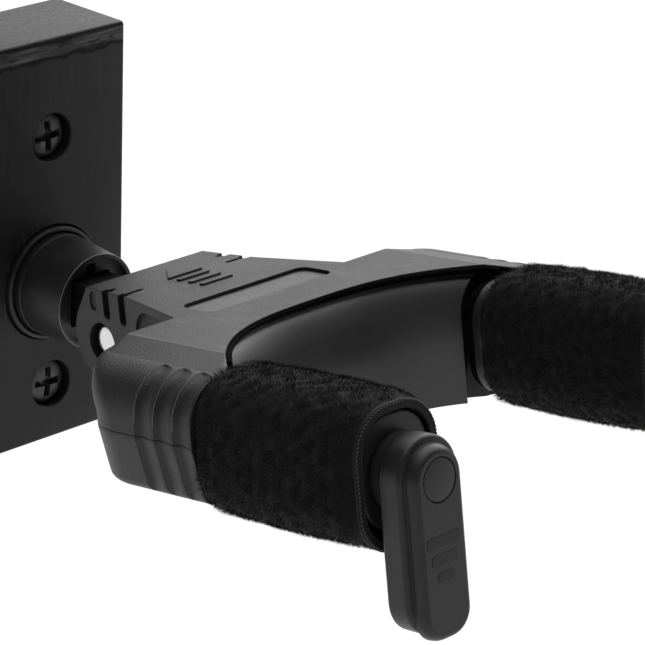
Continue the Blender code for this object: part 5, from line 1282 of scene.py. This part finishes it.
class HANGER_OT_sleeves(bpy.types.Operator):
    """Plush sleeves: crowned tubes with clumped nap, a coat of fibres, bound hems and stitches"""

    bl_idname = "hanger.sleeves"
    bl_label = "Plush sleeves"

    def execute(self, context):
        sizes = context.scene.hanger_sizes
        for number, (side, sign) in enumerate(SIDES.items()):
            centre = np.array([sign * ARM_HALF, ARM_UP])
            self.cover(sizes, side, centre, number)
            self.pile(sizes, side, centre, number)
            self.hem(sizes, side, centre)
            self.stitches(sizes, side, centre)
        return {"FINISHED"}

    def cover(self, sizes, side, centre, number):
        """Backing of the plush: the section swells along the arm, and sine noise raises soft clumps."""
        outs = np.linspace(SLEEVE_REAR_OUT, SLEEVE_FRONT_OUT - 0.4, 130)
        flat = sleeve_body(outs)
        v = np.linspace(0.0, SLEEVE_GIRTH, SLEEVE_POINTS, endpoint=False)
        fade = np.sin(np.pi * np.arange(SLEEVE_POINTS) / SLEEVE_POINTS) ** 0.3
        clumps = waves(outs[:, None], v[None, :], COVER_SEED + number, 16, 1.5) * fade
        flat = flat + unit(flat) * (0.16 * clumps * (1.0 - closing(outs))[:, None])[..., None]
        inner = resampled(rounded_loop(*ARM_WAY), SLEEVE_POINTS)
        mouth = hem_loop(sizes.hem_width / MM)
        rings = np.concatenate([flat, mouth[None], mouth[None], inner[None], inner[None]])
        along = [*outs, outs[-1], outs[-1] - MOUTH_DEPTH, outs[-1] - MOUTH_DEPTH - 0.2, outs[0]]
        cover = skin(f"{side}_sleeve_cover", on_yoke(lofted(rings + centre, "out", along)), wrap_rows=True)
        set_tones(cover, np.full(len(cover.data.vertices), 0.15))
        dress(cover, "plush_fibre", "yoke", [f"{side}_sleeve"], 60.0)

    def pile(self, sizes, side, centre, number):
        """Fibres as tapered ribbons of two steps, leaning with a noise that makes the nap clump."""
        count = sizes.pile_count
        chance = np.random.default_rng(PILE_SEED + number)
        outs = np.linspace(PILE_REAR_OUT, SLEEVE_FRONT_OUT - 0.3, 90)
        flat = sleeve_body(outs)

        # Roots spread over the backing: place between four of its points, and the directions there
        row = chance.uniform(0.0, len(outs) - 1.001, count)
        column = chance.uniform(0.0, SLEEVE_POINTS, count)
        r0, c0 = row.astype(int), column.astype(int) % SLEEVE_POINTS
        fr, fc = (row - r0)[:, None], (column - column.astype(int))[:, None]
        c1 = (c0 + 1) % SLEEVE_POINTS
        root = ((1 - fr) * ((1 - fc) * flat[r0, c0] + fc * flat[r0, c1])
                + fr * ((1 - fc) * flat[r0 + 1, c0] + fc * flat[r0 + 1, c1])) + centre
        out = outs[0] + row / (len(outs) - 1) * (outs[-1] - outs[0])
        edge = unit(flat[r0, c1] - flat[r0, c0])
        level = np.zeros(count)
        normal = np.stack([edge[:, 1], level, -edge[:, 0]], -1)
        tangent = np.stack([edge[:, 0], level, edge[:, 1]], -1)
        forward = np.array([0.0, 1.0, 0.0])

        # Lean, sway, length and spin of each fibre; the rear ones are longer and lie back over the trim
        v = column / SLEEVE_POINTS * SLEEVE_GIRTH
        lean = waves(out, v, LEAN_SEED + number, 18, 1.4) + 0.35 * chance.normal(size=count)
        sway = waves(out, v, SWAY_SEED + number, 18, 1.4) + 0.35 * chance.normal(size=count)
        clump = waves(out, v, CLUMP_SEED + number, 18, 1.2)
        back = np.clip(1.0 - (out - PILE_REAR_OUT) / 2.2, 0.0, 1.0)
        sway = sway - 2.4 * back
        reach = sizes.pile_length / MM * (0.8 + 0.25 * clump + chance.uniform(-0.2, 0.25, count))
        reach = (reach * (1.0 + 0.45 * back) * (1.0 - 0.6 * closing(out)))[:, None]
        slant = lean[:, None] * tangent + (sway[:, None] + 0.3) * forward
        middle = unit(normal + 0.45 * slant)
        tip = unit(normal * 0.75 + 0.95 * slant)
        spin = chance.uniform(0.0, 2.0 * np.pi, count)[:, None]
        wide = (np.cos(spin) * tangent + np.sin(spin) * forward) * sizes.pile_width / MM / 2

        base = np.stack([root[:, 0], out, root[:, 1]], -1) - 0.15 * normal
        knee = base + middle * 0.5 * reach
        end = knee + tip * 0.55 * reach
        points = np.stack([base - wide, base + wide, knee + 0.7 * wide, knee - 0.7 * wide, end], 1)
        start = 5 * np.arange(count)[:, None]
        faces = (start + np.array([0, 1, 2, 3])).tolist() + (start + np.array([3, 2, 4])).tolist()
        pile = linked(f"{side}_sleeve_pile", on_yoke(points), faces)
        # Tone: random, lighter in clumps, darker on the rear fibres; the right sleeve is 0.28 lighter as
        # painted light, where more light falls on it
        own = chance.uniform(0.0, 0.6, count) + 0.25 * clump + 0.28 * number - 0.11 - 0.25 * back
        set_tones(pile, np.clip(own[:, None] + np.array([-0.3, -0.3, 0.05, 0.05, 0.3]), 0.0, 1.0))
        dress(pile, "plush_fibre", "yoke", crisp=180.0)

    def hem(self, sizes, side, centre):
        """Flat ring folded over the sleeve's end with rounded edges."""
        width, front, fold = sizes.hem_width / MM, SLEEVE_FRONT_OUT, HEM_INNER_ROUND
        profile = [(0.25, front - HEM_SKIRT), *rounded_step(0.0, front, HEM_OUTER_ROUND, 6),
                   *arc((width - fold, front - fold), (fold, fold), 90, 0, 6), (width, front - HEM_TUCK),
                   (width - HEM_TAPE, front - HEM_TUCK)]
        loops = np.stack([hem_loop(inset) for inset, _ in profile]) + centre
        grid = lofted(loops, "out", [out for _, out in profile])
        tape = skin(f"{side}_hem_tape", on_yoke(grid), wrap_rows=True)
        self.unwrap(tape, centre)
        dress(tape, "woven_tape", "yoke", crisp=60.0)

    def stitches(self, sizes, side, centre):
        """Slanted stitches along the hem's outer edge: circles along a low arch, thinner at its ends."""
        path = hem_loop(STITCH_INSET) + centre
        girth = np.linalg.norm(path - np.roll(path, 1, 0), axis=1).sum()
        spots = resampled(path, int(girth / (sizes.stitch_pitch / MM)))
        ahead = unit(np.roll(spots, -1, 0) - np.roll(spots, 1, 0))
        outward = np.stack([ahead[:, 1], -ahead[:, 0]], -1)
        t = np.linspace(-1.0, 1.0, 6)[:, None]
        turn = np.linspace(0.0, 2.0 * np.pi, 6, endpoint=False)
        radius = STITCH_RADIUS * np.sqrt(np.clip(1.06 - t ** 2, 0.02, 1.0))
        rise = STITCH_RISE * (1.0 - t ** 2) + radius * np.cos(turn)
        across = STITCH_SLANT * t + radius * np.sin(turn)
        flat = (spots[:, None, None] + STITCH_HALF * t[..., None] * ahead[:, None, None]
                + across[..., None] * outward[:, None, None])
        out = np.broadcast_to(SLEEVE_FRONT_OUT - 0.05 + rise, flat.shape[:3])
        points = np.stack([flat[..., 0], out, flat[..., 1]], -1)
        index = np.arange(out.size).reshape(out.shape)
        faces = between(index[:, :-1], index[:, 1:]) + index[:, 0, ::-1].tolist() + index[:, -1].tolist()
        stitches = faced_outward(linked(f"{side}_hem_stitches", on_yoke(points), faces), weld=False)
        dress(stitches, "sewing_thread", "yoke", crisp=80.0)

    def unwrap(self, tape, centre):
        """Map in millimetres: angle round the arm times a mean radius, and distance along the arm."""
        mesh = tape.data
        points = np.empty(len(mesh.vertices) * 3)
        mesh.vertices.foreach_get("co", points)
        points = points.reshape(-1, 3) / MM
        corner = np.empty(len(mesh.loops), int)
        mesh.loops.foreach_get("vertex_index", corner)
        turn = np.arctan2(points[:, 2] - points[:, 2].mean(), points[:, 0] - centre[0])
        uv = np.stack([turn * HEM_MEAN_RADIUS, points[:, 1]], -1)[corner]
        mesh.uv_layers.new(name="tape").data.foreach_set("uv", uv.ravel())


def lever_loop(inset, drop):
    """Lever seen from the front: half circle about the shaft, straight sides and a toe with round corners."""
    half = LEVER_HALF - inset
    toe = max(LEVER_TOE - inset, 0.4)
    low = inset - drop
    loop = np.concatenate([arc((0, 0), (half, half), 0, 180, 40),
                           arc((-half + toe, low + toe), (toe, toe), 180, 270, 14),
                           arc((half - toe, low + toe), (toe, toe), 270, 360, 14)])
    return resampled(loop, 96)


class HANGER_OT_levers(bpy.types.Operator):
    """Levers: loops of one outline stepped in towards the front, a round hub, a flush cap and three bars"""

    bl_idname = "hanger.levers"
    bl_label = "Lock levers"

    def execute(self, context):
        gap = context.scene.hanger_sizes.cap_gap / MM
        for side, sign in SIDES.items():
            centre = np.array([sign * ARM_HALF, ARM_UP])
            self.lever(side, centre, gap)
            self.cap(side, centre)
            self.bars(side, centre)
        return {"FINISHED"}

    def lever(self, side, centre, gap):
        """Body joined to its hub, with room for the cap, the lock shaft and the screw."""
        lever = skin(f"{side}_lever_body", on_yoke(self.body(centre)))
        hub = [(0, LEVER_REAR_OUT), (HUB_RADIUS - 0.6, LEVER_REAR_OUT),
               (HUB_RADIUS - 0.05, LEVER_REAR_OUT + 0.5), (HUB_RADIUS, HUB_FRONT_OUT), (0, HUB_FRONT_OUT)]
        carve(lever, [turned("hub", hub, "out", centre)], "UNION")
        front = LEVER_FRONT_OUT
        carve(lever, [
            cylinder("cap_seat", CAP_RADIUS + gap, front - CAP_SEAT_DEPTH, front + PAST, centre),
            cylinder("shaft_way", SHAFT_WAY_RADIUS, LEVER_REAR_OUT - PAST, SHAFT_WAY_END_OUT, centre),
            cylinder("screw_way", LEVER_SCREW_WAY_RADIUS, LEVER_SCREW_WAY_OUT, front - PAST, centre)])
        dress(lever, "smooth_plastic", f"{side}_lock", [f"{side}_lever"], 32.0, True)

    def body(self, centre):
        """Loops from the rear edge over the side, the step and the swollen pad to the flat front."""
        soft = LEVER_REAR_ROUND
        rear = arc((soft, LEVER_BODY_OUT + soft), (soft, soft), 270, 180, 6)
        step = rounded_step(0.0, LEVER_STEP_OUT, LEVER_STEP_ROUND, 6)
        swell = arc((PAD_INSET + PAD_ROUND, LEVER_STEP_OUT + PAD_RISE),
                    (-PAD_ROUND, LEVER_FRONT_OUT - LEVER_STEP_OUT - PAD_RISE), 0, 90, 13)
        side = np.concatenate([rear, step])
        pad = np.concatenate([[(PAD_INSET - 0.05, LEVER_STEP_OUT + 0.1)], swell])
        loops = [lever_loop(inset, drop) for rows, drop in ((side, LEVER_DROP), (pad, LEVER_PAD_DROP))
                 for inset in rows[:, 0]]
        return lofted(np.stack(loops) + centre, "out", np.concatenate([side, pad])[:, 1])

    def cap(self, side, centre):
        """Round cap, flush in its seat, with a soft edge."""
        face = LEVER_FRONT_OUT + 0.02
        edge = arc((CAP_RADIUS - CAP_ROUND, face - CAP_ROUND), (CAP_ROUND, CAP_ROUND), 0, 90, 4)
        profile = [(0, face - 1.0), (CAP_RADIUS, face - 1.0), *edge, (0, face)]
        cap = turned(f"{side}_cap", profile, "out", centre)
        dress(cap, "smooth_plastic", f"{side}_lock", [f"{side}_lever_cap"], 32.0)

    def bars(self, side, centre):
        """Three thin bars below the cap, each shorter than the one above."""
        loops = [rounded_loop(half, tall, LEVER_BAR_RADIUS, centre - (0.0, drop), 6)
                 for drop, half, tall in LEVER_BARS]
        ends = (LEVER_FRONT_OUT - MARK_SUNK, LEVER_FRONT_OUT + LEVER_BAR_RISE)
        parts = [prism(f"{side}_bar_{number}", loop, "out", *ends) for number, loop in enumerate(loops)]
        bars = carve(parts[0], parts[1:], "UNION")
        bars.name = f"{side}_lever_bars"
        dress(bars, "lever_mark", f"{side}_lock", crisp=25.0)


class HANGER_OT_pin(bpy.types.Operator):
    """Bright pivot pin with a softly domed head"""

    bl_idname = "hanger.pin"
    bl_label = "Pivot pin"

    def execute(self, context):
        dome = arc((0.0, PIN_FACE_X + PIN_DOME), (PIN_HEAD_RADIUS, -PIN_DOME), 90, 0, 9)
        profile = [*dome, (PIN_HEAD_RADIUS, PIN_NECK_X), (PIN_RADIUS, PIN_NECK_X), (PIN_RADIUS, PIN_END_X),
                   (0, PIN_END_X)]
        pin = turned("pin_body", profile, "x", (0.0, 0.0), steps=72)
        dress(pin, "ground_steel", "yoke", ["pivot_pin"])
        return {"FINISHED"}


class HANGER_OT_shell_screws(bpy.types.Operator):
    """Four cross-head screws under the yoke"""

    bl_idname = "hanger.shell_screws"
    bl_label = "Shell screws"

    def execute(self, context):
        for row, (half, out) in SHELL_SCREWS.items():
            for number, (side, sign) in enumerate(SIDES.items()):
                turn = 20.0 + 31.0 * number
                place = (sign * half, out)
                screw = cross_screw(f"{side}_{row}_screw", "up", place, on_yoke, turn, **SHELL_SCREW)
                dress(screw, "black_oxide", "yoke", [f"{side}_{row}_shell_screw"])
        return {"FINISHED"}


def sided(*names):
    """Names of pieces that both sides have."""
    return [f"{side}_{name}" for side in SIDES for name in names]


class HANGER_OT_works(bpy.types.Operator):
    """Finishes for the CAD nodes that stay: tongue, rack, shafts, pinions, bushes, spring and washers"""

    bl_idname = "hanger.works"
    bl_label = "Inner works"

    def execute(self, context):
        finishes = {
            "satin_paint": ("pivot_tongue", "rack_bar", *sided("lock_shaft")),
            "ground_steel": ("tongue_screw", "rack_screw", "pivot_clip", "return_spring",
                             *sided("lever_screw")),
            "natural_acetal": ("friction_washer", "pivot_bush", *sided("rear_bush", "front_bush", "pinion")),
        }
        for finish, names in finishes.items():
            for name in names:
                paint(frame["nodes"][name], finish)
        return {"FINISHED"}


class HANGER_OT_stage(bpy.types.Operator):
    """Pale floor, soft lights and the camera"""

    bl_idname = "hanger.stage"
    bl_label = "Stage"

    def execute(self, context):
        self.floor()
        self.lights(context)
        self.camera(context)
        return {"FINISHED"}

    def floor(self):
        """Wide pale sheet below the hanger."""
        corners = box_loop(-FLOOR_HALF, FLOOR_HALF, -FLOOR_HALF, FLOOR_HALF)
        floor = linked("floor", lofted([corners], "up", [FLOOR_UP]), [(0, 1, 2, 3)])
        finish = Finish("pale_floor", 0.8)
        finish.tint(finish.noise(3.0, detail=2.0), (0.9, 0.9, 0.9, 1.0), (0.92, 0.92, 0.92, 1.0))
        floor.data.materials.append(finish.material)

    def lights(self, context):
        """Dim surroundings and three broad soft lights: a ceiling, a backdrop and one overhead."""
        world = bpy.data.worlds.new("studio")
        world.use_nodes = True
        ground = world.node_tree.nodes["Background"]
        ground.inputs["Color"].default_value = (1.0, 1.0, 1.0, 1.0)
        ground.inputs["Strength"].default_value = SURROUNDINGS
        context.scene.world = world
        for name, azimuth, elevation, width, strength in SOFT_LIGHTS:
            light = bpy.data.lights.new(name, "SUN")
            light.energy = strength
            light.angle = math.radians(width)
            lamp = bpy.data.objects.new(name, light)
            lamp.rotation_euler = (math.radians(90.0 - elevation), 0.0, math.radians(azimuth))
            lamp.location = (0.0, 0.0, 1.0)
            context.scene.collection.objects.link(lamp)
        context.scene.view_settings.view_transform = "Standard"

    def camera(self, context):
        """Camera on its line of sight through the target, rolled by a small angle."""
        az, el, roll = CAMERA_AZIMUTH, CAMERA_ELEVATION, CAMERA_ROLL
        right = np.array([math.cos(az), -math.sin(az), 0.0])
        above = np.array([math.sin(el) * math.sin(az), math.sin(el) * math.cos(az), math.cos(el)])
        back = np.array([-math.sin(az) * math.cos(el), -math.cos(az) * math.cos(el), math.sin(el)])
        rolled = math.cos(roll) * right + math.sin(roll) * above
        upright = math.cos(roll) * above - math.sin(roll) * right
        place = np.array(CAMERA_TARGET) + CAMERA_DISTANCE * back
        lens = bpy.data.cameras.new("photo_camera")
        lens.lens = CAMERA_LENS
        lens.sensor_width = 36.0
        lens.clip_start = 0.01
        camera = bpy.data.objects.new("photo_camera", lens)
        columns = np.column_stack([rolled, upright, back, place])
        camera.matrix_world = Matrix([*columns.tolist(), (0.0, 0.0, 0.0, 1.0)])
        context.scene.collection.objects.link(camera)
        context.scene.camera = camera


OPERATORS = (HANGER_OT_plate, HANGER_OT_wall_screws, HANGER_OT_collar, HANGER_OT_yoke, HANGER_OT_liner,
             HANGER_OT_arms, HANGER_OT_sleeves, HANGER_OT_levers, HANGER_OT_pin, HANGER_OT_shell_screws,
             HANGER_OT_works, HANGER_OT_stage)


class HANGER_PT_panel(bpy.types.Panel):
    """Lists the hanger's pieces in the sidebar"""

    bl_idname = "HANGER_PT_panel"
    bl_label = "Wall guitar hanger"
    bl_space_type = "VIEW_3D"
    bl_region_type = "UI"
    bl_category = "Hanger"

    def draw(self, context):
        for operator in OPERATORS:
            self.layout.operator(operator.bl_idname)


CLASSES = (HangerSizes, HangerColours, *OPERATORS, HANGER_PT_panel)


def register():
    """Registers the classes and hangs the sizes and colours on the scene."""
    for item in CLASSES:
        bpy.utils.register_class(item)
    bpy.types.Scene.hanger_sizes = bpy.props.PointerProperty(type=HangerSizes)
    bpy.types.Scene.hanger_colours = bpy.props.PointerProperty(type=HangerColours)


def unregister():
    """Takes it all back."""
    del bpy.types.Scene.hanger_colours
    del bpy.types.Scene.hanger_sizes
    for item in reversed(CLASSES):
        bpy.utils.unregister_class(item)


def main():
    """Builds every piece in order."""
    register()
    for operator in OPERATORS:
        group, name = operator.bl_idname.split(".")
        getattr(getattr(bpy.ops, group), name)()


if __name__ == "__main__":
    main()
